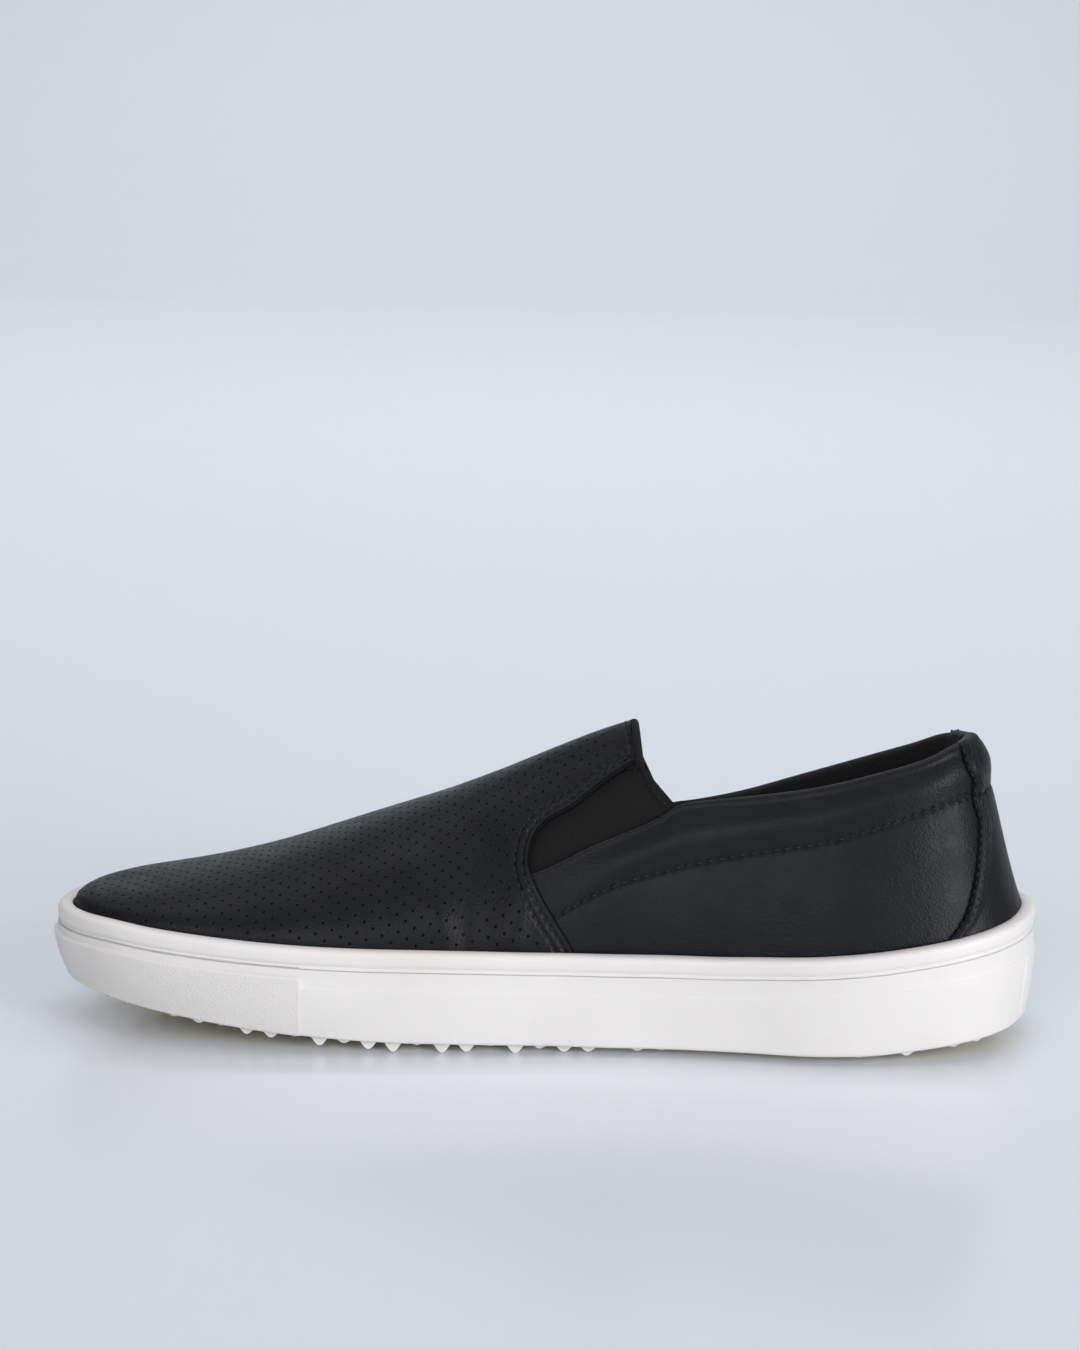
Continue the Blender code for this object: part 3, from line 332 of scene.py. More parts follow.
def outward(side, turn):
    """Unit vectors that point out of the outline in plan."""
    ahead = outline(side, np.clip(turn + NORMAL_STEP, 0, 1))
    behind = outline(side, np.clip(turn - NORMAL_STEP, 0, 1))
    run = ahead - behind
    tips = (turn < NEAR) | (turn > 1 - NEAR)
    normal = np.column_stack((run[:, 1], -run[:, 0])) * (1 if side == "medial" else -1)
    normal[tips] = np.column_stack((np.where(turn[tips] < 0.5, -1.0, 1.0), np.zeros(tips.sum())))
    return normal / np.linalg.norm(normal, axis=1)[:, None]


def along_of(x):
    """Share of the outline's length, from its X."""
    return (x + SOLE_LENGTH / 2 - TOE_INSET) / FEATHER_LENGTH


def x_of(along):
    """X at a share of the outline's length."""
    return along * FEATHER_LENGTH + TOE_INSET - SOLE_LENGTH / 2


def rim_height(along):
    return RIM_HEIGHT + RIM_RISE * smooth(SOLE_LINES, "rim", along)


def edge_height(along):
    """Lower edge of the cup's side."""
    spring = TOE_SPRING * smooth(SOLE_LINES, "toe", along) + HEEL_SPRING * smooth(SOLE_LINES, "heel", along)
    return LUG_DEPTH + spring


def tread_height(along):
    """Tips of the lugs. Under the ball and the heel they lie on the floor."""
    spring = np.where(along < 0.5, TOE_SPRING, HEEL_SPRING)
    return spring * smooth(SOLE_LINES, "tread", along) + ARCH_LIFT * smooth(SOLE_LINES, "arch", along)


def crown_along(along):
    """Where the section that starts at a place of the outline reaches the crown."""
    toe = np.clip(1 - along / TOE_FADE, 0, 1)
    heel = np.clip(1 - (1 - along) / HEEL_FADE, 0, 1)
    return along + TOE_TOP * toe ** 2 - HEEL_TOP * heel ** 2


SLOPE_STEP = 0.01           # distance along the shoe over which slopes are measured
NORMAL_STEP = 0.004         # the same for the surface's normals
TOP_LEVEL = 0.96            # above this level the normals stay the same


def crown_slope(along):
    """Climb of the crown for each step along the shoe."""
    step = SLOPE_STEP
    rise = INSTEP_HEIGHT * (smooth(CROWN, "height", along + step) - smooth(CROWN, "height", along - step))
    reach = np.clip(along + step, None, CROWN["along"][-1]) - np.clip(along - step, CROWN["along"][0], None)
    return rise / (reach * FEATHER_LENGTH)


def last_point(side, turn, height):
    """Last surface at shares of the outline and of the way up each section.

    A negative height is a depth below the rim, as a share of the cup's depth there."""
    other = "lateral" if side == "medial" else "medial"
    foot = outline(side, turn)
    along = along_of(foot[:, 0])
    top_along = crown_along(along_of(0.5 * (foot[:, 0] + outline(other, turn)[:, 0])))
    low = np.column_stack((foot, rim_height(along)))
    top = np.column_stack((
        x_of(top_along),
        BALL_WIDTH * smooth(CROWN, "across", top_along),
        INSTEP_HEIGHT * smooth(CROWN, "height", top_along),
    ))
    shares = (smooth(CROWN, name, top_along)[:, None] for name in ("lean", "rise", "flat", "tuck"))
    lean, rise, flat, tuck = shares
    if side == "lateral":
        lean, flat = lean + tuck, flat - tuck
    reach = low - top
    reach[:, 2] = 0
    climb = (top - low) * (0, 0, 1)
    turn_low = low - lean * reach + rise * climb
    turn_top = top + flat * reach
    turn_top[:, 2] += crown_slope(top_along) * (turn_top[:, 0] - top[:, 0])
    up = np.clip(height, 0, 1)[:, None]
    curve = (1 - up) ** 3 * low + 3 * (1 - up) ** 2 * up * turn_low
    curve = curve + 3 * (1 - up) * up ** 2 * turn_top + up ** 3 * top
    depth = rim_height(along) - seat_height(along)
    curve[:, 2] += np.minimum(height, 0) * depth
    return curve


def seat_height(along):
    """Foot of the upper inside the cup."""
    return rim_height(along) - CUP_DEPTH + CLEARANCE


def last_normal(side, turn, height):
    """Unit normals of the last surface, pointing out."""
    step = NORMAL_STEP
    level = np.clip(height, -1, TOP_LEVEL)
    ahead = last_point(side, np.clip(turn + step, 0, 1), level)
    behind = last_point(side, np.clip(turn - step, 0, 1), level)
    run = ahead - behind
    tips = (turn < NEAR) | (turn > 1 - NEAR)
    run[tips] = (0.0, 1.0, 0.0)
    sign = 1.0 if side == "medial" else -1.0
    toe_tip = tips & (turn < 0.5)
    run[toe_tip] *= -sign
    run[tips & ~toe_tip] *= sign
    rise = last_point(side, turn, np.clip(level + step, -1, 1)) - last_point(side, turn, level - step)
    normal = np.cross(rise, run) * -sign
    return normal / np.linalg.norm(normal, axis=1)[:, None]


def collar_lines(side, along):
    """Top edge and stitched lower edge of the padded band."""
    drop = COLLAR["drop"] if side == "lateral" else 0.0 * COLLAR["drop"]
    edges = dict(COLLAR, top=COLLAR["top"] - drop, seam=COLLAR["seam"] - SEAM_DROP * drop)
    return COLLAR_HEIGHT * smooth(edges, "top", along), COLLAR_HEIGHT * smooth(edges, "seam", along)


def band_part(side, points):
    """Share of the way from the band's seam to its top edge."""
    top, seam = collar_lines(side, along_of(points[:, 0]))
    return (points[:, 2] - seam) / (top - seam)


def fade_in(points, fade):
    """Rises from 0 to 1 along the shoe, between two places."""
    return ease((along_of(points[:, 0]) - fade[0]) / (fade[1] - fade[0]))


def puff(side, points):
    """How far the padded band swells outward."""
    part = np.clip(band_part(side, points), 0, 1)
    return COLLAR_PUFF * fade_in(points, PUFF_FADE) * np.sin(math.pi * part) ** 2


def inner_depth(side, points):
    """Depth of the upper's inner side below the last surface: its wall, and the padding at the collar."""
    part = band_part(side, points)
    full = ease((part - PAD_START) / (PAD_FULL - PAD_START))
    thin = 1 - PAD_THINS * ease((part - PAD_FULL) / (PAD_END - PAD_FULL))
    return UPPER_WALL + COLLAR_PAD * fade_in(points, PAD_FADE) * full * thin


def shell_point(side, turn, height, offset, inside=False):
    """Points of the upper's outer or inner side, moved out by an offset."""
    base = last_point(side, turn, height)
    normal = last_normal(side, turn, height)
    away = -inner_depth(side, base) if inside else puff(side, base)
    return base + normal * (away + offset)[:, None]


# Side views, as lists of X and Z

def bent(line):
    """A curve through the points of a line, with points added between them."""
    line = np.array(line)
    steps = np.hypot(*np.diff(line, axis=0).T)
    reach = np.concatenate(((0.0,), np.cumsum(steps)))
    rows = {"along": reach, "x": line[:, 0], "z": line[:, 1]}
    at = np.concatenate([np.linspace(start, end, EDGE_STEPS, endpoint=False)
                         for start, end in zip(reach, reach[1:])] + [reach[-1:]])
    return list(zip(smooth(rows, "x", at), smooth(rows, "z", at)))


EDGE_STEPS = 2


def vamp_edge(side):
    """Edge of the vamp beside the gore, from the notch up to the throat."""
    drop = VAMP_EDGE["drop"] * (NOTCH_DROP if side == "lateral" else 0.0)
    return bent(list(zip(x_of(VAMP_EDGE["along"]), VAMP_EDGE["height"] * INSTEP_HEIGHT - drop)))


def collar_edge(side):
    """Top edge of quarter and heel, from the notch."""
    drop = COLLAR["drop"] * (1.0 if side == "lateral" else 0.0)
    return bent(list(zip(x_of(COLLAR["along"]), (COLLAR["top"] - drop) * COLLAR_HEIGHT)))


def throat_x(height):
    """End of the vamp at a height."""
    return x_of(THROAT_TOP) + THROAT_LEAN * (INSTEP_HEIGHT - height)


def beside_line(line, distance):
    """A line moved to its left by a distance."""
    line = np.array(line)
    run = np.gradient(line, axis=0)
    normal = np.column_stack((-run[:, 1], run[:, 0])) / np.linalg.norm(run, axis=1)[:, None]
    return [tuple(point) for point in line + normal * distance]


CORNER_HEIGHT = INSTEP_HEIGHT * VAMP_EDGE["height"][-1]
SKY = INSTEP_HEIGHT + COLLAR_HEIGHT
VIEW_SPLIT = (-0.19 * BALL_WIDTH, -0.042 * BALL_WIDTH)
BACK = 0.6 * SOLE_LENGTH


def opening_shape(side):
    """All that is cut away: throat, gore gap and collar opening."""
    front = throat_x(CORNER_HEIGHT) - BINDING_WIDTH
    edge = [point for point in vamp_edge(side) if point[0] < front]
    collar = collar_edge(side)[1:]
    shape = [(throat_x(SKY) - BINDING_WIDTH, SKY), (front, CORNER_HEIGHT)]
    return shape + edge[::-1] + collar + [(BACK, collar[-1][1]), (BACK, SKY)]


GORE_END_ROW = 5            # the collar's row where the free edge of a gore ends
STRIP_FOOT = 0.0022         # the strip's foot over the rim line


# Places on the last

def skin(side, turn, level, depth=0.0, inside=False):
    """Points of the upper's outer or inner side, that much below it. Turn and level broadcast."""
    turn, level = np.broadcast_arrays(np.asarray(turn, float), np.asarray(level, float))
    shape = turn.shape
    turn, level = turn.ravel(), level.ravel()
    away = np.full(turn.size, -depth)
    points = shell_point(side, turn, level, away, inside)
    top = level > TOP_JOIN
    if top.any():
        other = "lateral" if side == "medial" else "medial"
        across = shell_point(other, turn[top], level[top], away[top], inside)
        share = 0.5 * ((level[top] - TOP_JOIN) / (1 - TOP_JOIN))[:, None]
        points[top] = points[top] * (1 - share) + across * share
    return points.reshape(*shape, 3)


TOP_JOIN = 0.9985


def locate(side, x, z):
    """Turn and level of the points that the side view shows at x and z."""
    x, z = (np.asarray(value, float) for value in (x, z))
    share, line = SIDES[side]
    turn = np.interp(x, line[:, 0], share)
    level = np.clip((z - RIM_HEIGHT) / (INSTEP_HEIGHT - RIM_HEIGHT), 0.02, 0.9)
    step = 1e-3
    for _ in range(14):
        here = skin(side, turn, level)
        along_turn = skin(side, turn + step, level) - here
        along_level = skin(side, turn, level + step) - here
        off_x, off_z = x - here[:, 0], z - here[:, 2]
        area = along_turn[:, 0] * along_level[:, 2] - along_turn[:, 2] * along_level[:, 0]
        more_turn = (off_x * along_level[:, 2] - off_z * along_level[:, 0]) / area
        more_level = (along_turn[:, 0] * off_z - along_turn[:, 2] * off_x) / area
        turn = np.clip(turn + np.clip(more_turn * step, -0.03, 0.03), 0.0, 1.0 - step)
        level = np.clip(level + np.clip(more_level * step, -0.08, 0.08), -1.0, 0.995)
    return turn, level


def unit(vectors):
    """Vectors scaled to a length of 1."""
    return vectors / np.maximum(np.linalg.norm(vectors, axis=-1, keepdims=True), 1e-12)


def grid_normals(grid, closed=False):
    """Unit normals of a grid of points, along the cross product of its second and first direction."""
    if closed:
        down = np.roll(grid, -1, 0) - np.roll(grid, 1, 0)
    else:
        down = np.gradient(grid, axis=0)
    across = np.gradient(grid, axis=1)
    return unit(np.cross(down, across))


def lengths(line):
    """Distance along a line of points to each of them."""
    return np.concatenate(((0.0,), np.cumsum(np.linalg.norm(np.diff(line, axis=0), axis=1))))


def resample(line, spacing, *more):
    """Points at an even spacing along a line, with other arrays read at the same places."""
    reach = lengths(line)
    count = max(int(round(reach[-1] / spacing)), 1)
    at = np.linspace(0, reach[-1], count + 1)
    found = []
    for values in (line, *more):
        values = np.asarray(values, float)
        columns = values.reshape(len(values), -1)
        read = np.column_stack([np.interp(at, reach, column) for column in columns.T])
        found.append(read.reshape((count + 1,) + values.shape[1:]))
    return found[0] if not more else found


# Pieces

def piece(name, points, faces, materials, stands_for=(), face_material=None):
    """A mesh that rides on the shoe, with the materials it is given, and hides the CAD parts it stands for.
    """
    mesh = bpy.data.meshes.new(name)
    mesh.from_pydata(np.asarray(points, float).tolist(), [], [tuple(int(i) for i in face) for face in faces])
    made = bpy.data.objects.new(name, mesh)
    bpy.context.scene.collection.objects.link(made)
    for material in materials if isinstance(materials, (list, tuple)) else (materials,):
        mesh.materials.append(material)
    if face_material is not None:
        mesh.polygons.foreach_set("material_index", np.asarray(face_material, dtype=np.int32))
    mesh.shade_smooth()
    mesh.validate()
    mesh.update()
    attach(made, "root")
    if stands_for:
        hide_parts(*stands_for)
    return made


def grid_faces(rows, columns, first=0, closed_rows=False, closed_columns=False):
    """Quads of a grid whose points lie row after row."""
    row = np.arange(rows if closed_rows else rows - 1)
    column = np.arange(columns if closed_columns else columns - 1)
    row, column = (value.ravel() for value in np.meshgrid(row, column, indexing="ij"))
    next_row, next_column = (row + 1) % rows, (column + 1) % columns
    quads = np.column_stack((row * columns + column, row * columns + next_column,
                             next_row * columns + next_column, next_row * columns + column))
    return (quads + first).tolist()


def sheet_mesh(outer, inner, closed_columns=False):
    """Points and faces of a closed sheet between two grids of the same shape."""
    rows, columns = outer.shape[:2]
    count = rows * columns
    points = np.vstack((outer.reshape(-1, 3), inner.reshape(-1, 3)))
    faces = grid_faces(rows, columns, 0, closed_columns=closed_columns)
    faces += [face[::-1] for face in grid_faces(rows, columns, count, closed_columns=closed_columns)]
    if closed_columns:
        borders = [list(range(columns)) + [0], [(rows - 1) * columns + c for c in range(columns)][::-1]]
        borders[1].append(borders[1][0])
    else:
        border = list(range(columns)) + [r * columns + columns - 1 for r in range(1, rows)]
        border += [(rows - 1) * columns + c for c in range(columns - 2, -1, -1)]
        border += [r * columns for r in range(rows - 2, -1, -1)]
        borders = [border]
    for border in borders:
        for here, there in zip(border, border[1:]):
            faces.append((there, here, here + count, there + count))
    return points, faces


def outward_faces(made):
    """Turns the faces of a closed piece outward."""
    work = bmesh.new()
    work.from_mesh(made.data)
    bmesh.ops.remove_doubles(work, verts=work.verts, dist=1e-6)
    bmesh.ops.recalc_face_normals(work, faces=work.faces)
    if work.calc_volume(signed=True) < 0:
        bmesh.ops.reverse_faces(work, faces=work.faces)
    work.to_mesh(made.data)
    work.free()


# Stitches

def stitches(name, runs, material):
    """Threads along runs. A run is (points, normals, pitch, length, radius, height over the surface)."""
    points, faces = [], []
    count = 0
    for line, normals, pitch, size, radius, lift in runs:
        reach = lengths(line)
        for start in np.arange(0.5 * (pitch - size), reach[-1] - size, pitch):
            at = start + size * np.linspace(0, 1, STITCH_STEPS + 1)
            middle = np.column_stack([np.interp(at, reach, line[:, k]) for k in range(3)])
            up = unit(np.column_stack([np.interp(at, reach, normals[:, k]) for k in range(3)]))
            bow = np.sin(math.pi * np.linspace(0, 1, STITCH_STEPS + 1))[:, None]
            run = unit(np.gradient(middle, axis=0))
            side = unit(np.cross(run, up))
            thick = radius * (0.55 + 0.45 * bow)
            centre = middle + up * (lift * bow - STITCH_SINK * (1 - bow))
            turn = 2 * math.pi * np.arange(STITCH_SIDES) / STITCH_SIDES
            round_1, round_2 = (wave(turn)[None, :, None] for wave in (np.cos, np.sin))
            ring = side[:, None] * round_1 + STITCH_FLAT * up[:, None] * round_2
            points.append((centre[:, None] + ring * thick[:, None]).reshape(-1, 3))
            faces += grid_faces(STITCH_STEPS + 1, STITCH_SIDES, count, closed_columns=True)
            faces.append(tuple(range(count, count + STITCH_SIDES))[::-1])
            last = count + STITCH_STEPS * STITCH_SIDES
            faces.append(tuple(range(last, last + STITCH_SIDES)))
            count += (STITCH_STEPS + 1) * STITCH_SIDES
    return piece(name, np.vstack(points), faces, material)


STITCH_STEPS = 5
STITCH_SIDES = 6
STITCH_SINK = 0.3 * MM      # how deep a stitch's ends go into the leather
STITCH_FLAT = 0.8           # its height, as a share of its width


# Materials

class Nodes:
    """Short calls that build one material."""

    def __init__(self, name, color, roughness):
        self.material = bpy.data.materials.new(name)
        self.material.use_nodes = True
        self.tree = self.material.node_tree
        self.shader = self.tree.nodes["Principled BSDF"]
        self.shader.inputs["Base Color"].default_value = (*color, 1.0)
        self.shader.inputs["Roughness"].default_value = roughness
        self.material.diffuse_color = (*color, 1.0)
        self.place = self.tree.nodes.new("ShaderNodeTexCoord").outputs["Object"]

    def node(self, kind, inputs=(), **settings):
        made = self.tree.nodes.new(kind)
        for name, value in settings.items():
            setattr(made, name, value)
        for name, value in dict(inputs).items():
            socket = made.inputs[name]
            if isinstance(value, bpy.types.NodeSocket):
                self.tree.links.new(value, socket)
            else:
                socket.default_value = value
        return made

    def noise(self, size, detail=2.0, rough=0.5, place=None):
        """Noise with features of a size in metres."""
        inputs = {"Vector": place or self.place, "Scale": 1.0 / size, "Detail": detail, "Roughness": rough}
        return self.node("ShaderNodeTexNoise", inputs).outputs["Fac"]

    def cells(self, size, place=None, feature="F1", smoothness=0.3):
        made = self.node("ShaderNodeTexVoronoi", {"Vector": place or self.place, "Scale": 1.0 / size},
                         feature=feature)
        if feature == "SMOOTH_F1":
            made.inputs["Smoothness"].default_value = smoothness
        return made.outputs["Distance"]

    def turned(self, angles, scale=(1.0, 1.0, 1.0)):
        inputs = {"Vector": self.place, "Rotation": tuple(math.radians(a) for a in angles), "Scale": scale}
        return self.node("ShaderNodeMapping", inputs).outputs["Vector"]

    def wave(self, pitch, place, distortion=0.0):
        """Even ribs along X of a place, a pitch apart."""
        return self.node("ShaderNodeTexWave", {
            "Vector": place, "Scale": math.pi / (10 * pitch), "Distortion": distortion, "Detail": 1.0},
            wave_type="BANDS", bands_direction="X", wave_profile="SIN").outputs["Fac"]

    def math(self, operation, first, second):
        made = self.node("ShaderNodeMath", operation=operation)
        for socket, value in zip(made.inputs, (first, second)):
            if isinstance(value, bpy.types.NodeSocket):
                self.tree.links.new(value, socket)
            else:
                socket.default_value = value
        return made.outputs[0]

    def ramp(self, value, low, high, to_low, to_high):
        inputs = {"Value": value, "From Min": low, "From Max": high, "To Min": to_low, "To Max": to_high}
        return self.node("ShaderNodeMapRange", inputs).outputs["Result"]

    def blend(self, share, first, second):
        """A colour between two colours."""
        made = self.node("ShaderNodeMix", data_type="RGBA")
        for index, value in ((0, share), (6, (*first, 1.0)), (7, (*second, 1.0))):
            if isinstance(value, bpy.types.NodeSocket):
                self.tree.links.new(value, made.inputs[index])
            else:
                made.inputs[index].default_value = value
        self.tree.links.new(made.outputs[2], self.shader.inputs["Base Color"])

    def rough(self, value):
        self.tree.links.new(value, self.shader.inputs["Roughness"])

    def bump(self, layers):
        """Layers of height, each with its depth in metres, one on top of the other."""
        normal = None
        for height, depth in layers:
            made = self.node("ShaderNodeBump", {"Height": height, "Strength": 1.0, "Distance": depth})
            if normal is not None:
                self.tree.links.new(normal, made.inputs["Normal"])
            normal = made.outputs["Normal"]
        self.tree.links.new(normal, self.shader.inputs["Normal"])


def leather(name, color, light, roughness, grain=1.0):
    """Smooth coated leather with a fine pebbled grain."""
    made = Nodes(name, color, roughness)
    tone = made.noise(22 * MM, 3.0)
    made.blend(made.ramp(tone, 0.35, 0.7, 0.0, 1.0), color, light)
    wear = made.noise(7 * MM, 4.0, 0.6)
    made.rough(made.ramp(wear, 0.3, 0.75, roughness - 0.05, roughness + 0.08))
    pebble = made.cells(0.75 * MM, feature="SMOOTH_F1", smoothness=0.5)
    fine = made.noise(0.28 * MM, 2.0)
    soft = made.noise(5 * MM, 2.0)
    made.bump(((soft, 0.10 * MM), (pebble, 0.085 * MM * grain), (fine, 0.030 * MM * grain)))
    made.shader.inputs["Specular IOR Level"].default_value = 0.17
    return made.material


def textile(name, color, light, pitch, angles, fuzz=0.3):
    """A knitted lining: two crossed sets of fine ribs with a fibrous tone. The grooves between the ribs are
    coloured darker from the same field as their bump: painted shade between the yarns.
    """
    made = Nodes(name, color, 0.92)
    place = made.turned(angles)
    across = made.turned((angles[0], angles[1], angles[2] + 90))
    knit = made.math("MULTIPLY", made.wave(pitch, place, 0.4), made.wave(pitch, across, 0.4))
    fibre = made.noise(0.25 * MM, 2.0)
    # Tone: the knit's grooves darker as painted shade, plus the fibre's own random tone.
    tone = made.math("ADD", made.math("MULTIPLY", knit, 0.6), made.math("MULTIPLY", fibre, 0.5))
    made.blend(tone, color, light)
    made.bump(((knit, 0.12 * MM), (fibre, 0.05 * MM)))
    made.shader.inputs["Sheen Weight"].default_value = fuzz
    made.shader.inputs["Sheen Roughness"].default_value = 0.6
    made.shader.inputs["Specular IOR Level"].default_value = 0.2
    return made.material


def elastic(name, color, light):
    """Woven elastic: ribs along the free edge with a fine cross weave. The ribs' grooves are coloured darker
    from the same wave as their bump, painted shade between the ribs, broken by the yarn's own random tone.
    """
    made = Nodes(name, color, 0.88)
    place = made.turned((0, GORE_RIB_ANGLE, 0))
    rib = made.wave(0.55 * MM, place, 0.15)
    weave = made.cells(0.36 * MM)
    # Tone: darker in the rib grooves as painted shade, times the yarn's own random tone.
    made.blend(made.math("MULTIPLY", rib, made.noise(0.4 * MM, 2.0)), color, light)
    made.bump(((rib, 0.05 * MM), (weave, 0.14 * MM)))
    made.shader.inputs["Sheen Weight"].default_value = 0.04
    made.shader.inputs["Specular IOR Level"].default_value = 0.2
    return made.material


GORE_RIB_ANGLE = -38.0


def rubber(name, color, shade, roughness, stipple=0.0):
    """Moulded rubber with a faint mottle, and a stippled face where asked."""
    made = Nodes(name, color, roughness)
    tone = made.noise(30 * MM, 3.0)
    made.blend(made.ramp(tone, 0.4, 0.75, 0.0, 1.0), color, shade)
    made.rough(made.ramp(made.noise(6 * MM, 3.0), 0.3, 0.7, roughness - 0.06, roughness + 0.06))
    layers = [(made.noise(0.5 * MM, 2.0), 0.012 * MM), (made.noise(9 * MM, 1.0), 0.05 * MM)]
    if stipple:
        layers.append((made.cells(0.62 * MM, feature="SMOOTH_F1", smoothness=0.4), stipple * MM))
    made.bump(layers)
    made.shader.inputs["Specular IOR Level"].default_value = 0.45
    made.shader.inputs["Subsurface Weight"].default_value = 0.06
    made.shader.inputs["Subsurface Scale"].default_value = 0.004
    return made.material


def plain(name, color, roughness):
    """Thread and other tiny things: one tone with a fine fibre."""
    made = Nodes(name, color, roughness)
    fibre = made.noise(0.3 * MM, 1.0)
    made.blend(fibre, color, tuple(1.6 * part for part in color))
    made.bump(((fibre, 0.03 * MM),))
    return made.material


LEATHER = leather("coated_leather", (0.0052, 0.0060, 0.0074), (0.0078, 0.0088, 0.0106), 0.40)
VAMP_LEATHER = leather("perforated_leather", (0.0052, 0.0057, 0.0066), (0.0078, 0.0084, 0.0096), 0.40)
# Inside the pinholes: the black leather's own cut wall, coloured darker than leather and lining as painted
# shade deep in the hole, and a near-black bottom sheet that stands for that shade.
HOLE_WALL_AND_SHADE = plain("pinhole_wall_and_painted_shade", (0.0020, 0.0021, 0.0024), 0.9)
LINING = textile("knit_lining", (0.004, 0.0042, 0.0047), (0.012, 0.0125, 0.014), 0.9 * MM, (20, 0, 30), 0.10)
FOOTBED = textile("footbed_cloth", (0.010, 0.0105, 0.0115), (0.034, 0.035, 0.038), 0.8 * MM, (0, 0, 45))
TAPE = textile("woven_tape", (0.0032, 0.0034, 0.0038), (0.009, 0.0094, 0.0105), 0.6 * MM, (0, 40, 10), 0.04)
ELASTIC = elastic("woven_elastic", (0.0036, 0.0037, 0.0040), (0.017, 0.0175, 0.0190))
THREAD = plain("black_thread", (0.0030, 0.0033, 0.0040), 0.60)
SOLE = rubber("white_rubber_smooth", (0.77, 0.745, 0.727), (0.725, 0.70, 0.68), 0.46)
# The stippled bumper is the cup's own white rubber, coloured darker than the smooth side: painted shade, as
# the toe faces away from the lights. The stipple itself is a bump.
STIPPLED_AND_SHADED = rubber("white_rubber_stippled_painted_shade", (0.725, 0.698, 0.680), (0.68, 0.655, 0.636), 0.52, 0.10)
TREAD = rubber("tread_rubber_moulded", (0.60, 0.51, 0.25), (0.52, 0.44, 0.21), 0.52)


# The sole

def side_reach(along, bumper, part):
    """How far the cup's side stands out between the step line and its foot."""
    top = STEP_REACH * CUP_WALL + BUMPER_STEP * bumper
    foot = smooth(SOLE_LINES, "flare", along) * CUP_WALL + BUMPER_FOOT * BUMPER_STEP * bumper
    return top + (foot - top) * part ** SIDE_BELLY


def cup_profile(along, bumper, heel):
    """Out and height of the points of one section of the cup, from its cavity down to its underside."""
    rim = rim_height(along)
    groove = rim - RIM_BEAD_DROP
    step = rim - (BUMPER_DROP if bumper else BAND_DROP)
    edge = edge_height(along)
    rows = [(CLEARANCE, rim - CUP_DEPTH), (CLEARANCE, rim - 3 * MM), (CLEARANCE, rim + 0.1 * MM)]
    rows += [(out * CUP_WALL, rim - level * RIM_BEAD_DROP) for out, level in BEAD]
    rows += [(BAND_OUT * CUP_WALL, groove + (step - groove) * part) for part in BAND_PARTS]
    top = STEP_REACH * CUP_WALL + (BUMPER_STEP if bumper else 0.0)
    rows += [(0.945 * CUP_WALL, step + 0.30 * MM), (0.96 * CUP_WALL, step + 0.12 * MM),
             (top - 0.25 * MM, step + 0.02 * MM), (top - 0.06 * MM, step - 0.10 * MM)]
    foot_round = edge + EDGE_ROUND
    for part in SIDE_PARTS:
        patch = heel * HEEL_PATCH * ease((1 - part) / 0.3) * ease(part / 0.1)
        rows.append((side_reach(along, float(bumper), part) + patch, step + (foot_round - step) * part))
    foot = side_reach(along, float(bumper), 1.0)
    for angle in np.radians(ROUND_DEGREES):
        rows.append((foot - EDGE_ROUND * (1 - math.cos(angle)), foot_round - EDGE_ROUND * math.sin(angle)))
    inner = side_reach(along, 0.0, 1.0) - RECESS_INSET
    rows += [(inner + LIP_ROUND, edge), (inner, edge + LIP_ROUND), (inner, edge + RECESS_DEPTH)]
    return rows


# Bead of the rim: share of CUP_WALL outward and share of RIM_BEAD_DROP down
BEAD = ((0.14, -0.085), (0.35, -0.11), (0.60, -0.09), (0.78, -0.03), (0.88, 0.06), (0.93, 0.18),
        (0.945, 0.35), (0.95, 0.55), (0.945, 0.72), (0.92, 0.82), (0.86, 0.90), (0.83, 0.96),
        (0.84, 1.02), (0.89, 1.08), (0.925, 1.14), (0.935, 1.22))
BAND_OUT = 0.935            # reach of the band between groove and step line, as a share of CUP_WALL
BAND_PARTS = (0.10, 0.30, 0.60, 0.90)
SIDE_PARTS = (0.04, 0.12, 0.22, 0.34, 0.46, 0.58, 0.70, 0.80, 0.88, 0.94, 1.0)
ROUND_DEGREES = (22, 45, 67, 90)
LIP_ROUND = 0.25 * MM
HEEL_PATCH = 0.25 * MM      # how far the patch at the heel stands proud
HEEL_PATCH_START = 0.1405   # its X
END_HALF = 0.0003           # half the width of a step in the side, as a share of the outline
SOLE_TURNS = 190
SOLE_CROWDING = 0.55        # how much closer together the columns lie at toe and heel
CAVITY_ROWS = 3
STEP_ROWS = 4
FOOT_ROWS = len(ROUND_DEGREES) + 3


def sole_turns():
    """Fine columns, with two right at the end of the toe bumper and two at the heel patch, on each side."""
    even = np.linspace(0, 1, SOLE_TURNS + 1)
    turns = even - SOLE_CROWDING * np.sin(2 * math.pi * even) / (2 * math.pi)
    own = []
    for side in ("medial", "lateral"):
        share, line = SIDES[side]
        for x in (BUMPER_LENGTH - SOLE_LENGTH / 2, HEEL_PATCH_START):
            turn = float(np.interp(x, line[:, 0], share))
            own += [turn - END_HALF, turn + END_HALF]
    shared = [turn for turn in turns if min(abs(turn - extra) for extra in own) > 2 * END_HALF]
    return np.array(sorted(shared + own))


def cap_faces(start, count, flip=False):
    """Closes a loop by strips from the medial to the lateral side."""
    size = 2 * count
    faces = [(start, start + 1, start + size - 1)]
    for column in range(1, count - 1):
        faces.append((start + column, start + column + 1, start + size - column - 1, start + size - column))
    faces.append((start + count - 1, start + count, start + count + 1))
    return [face[::-1] for face in faces] if flip else faces


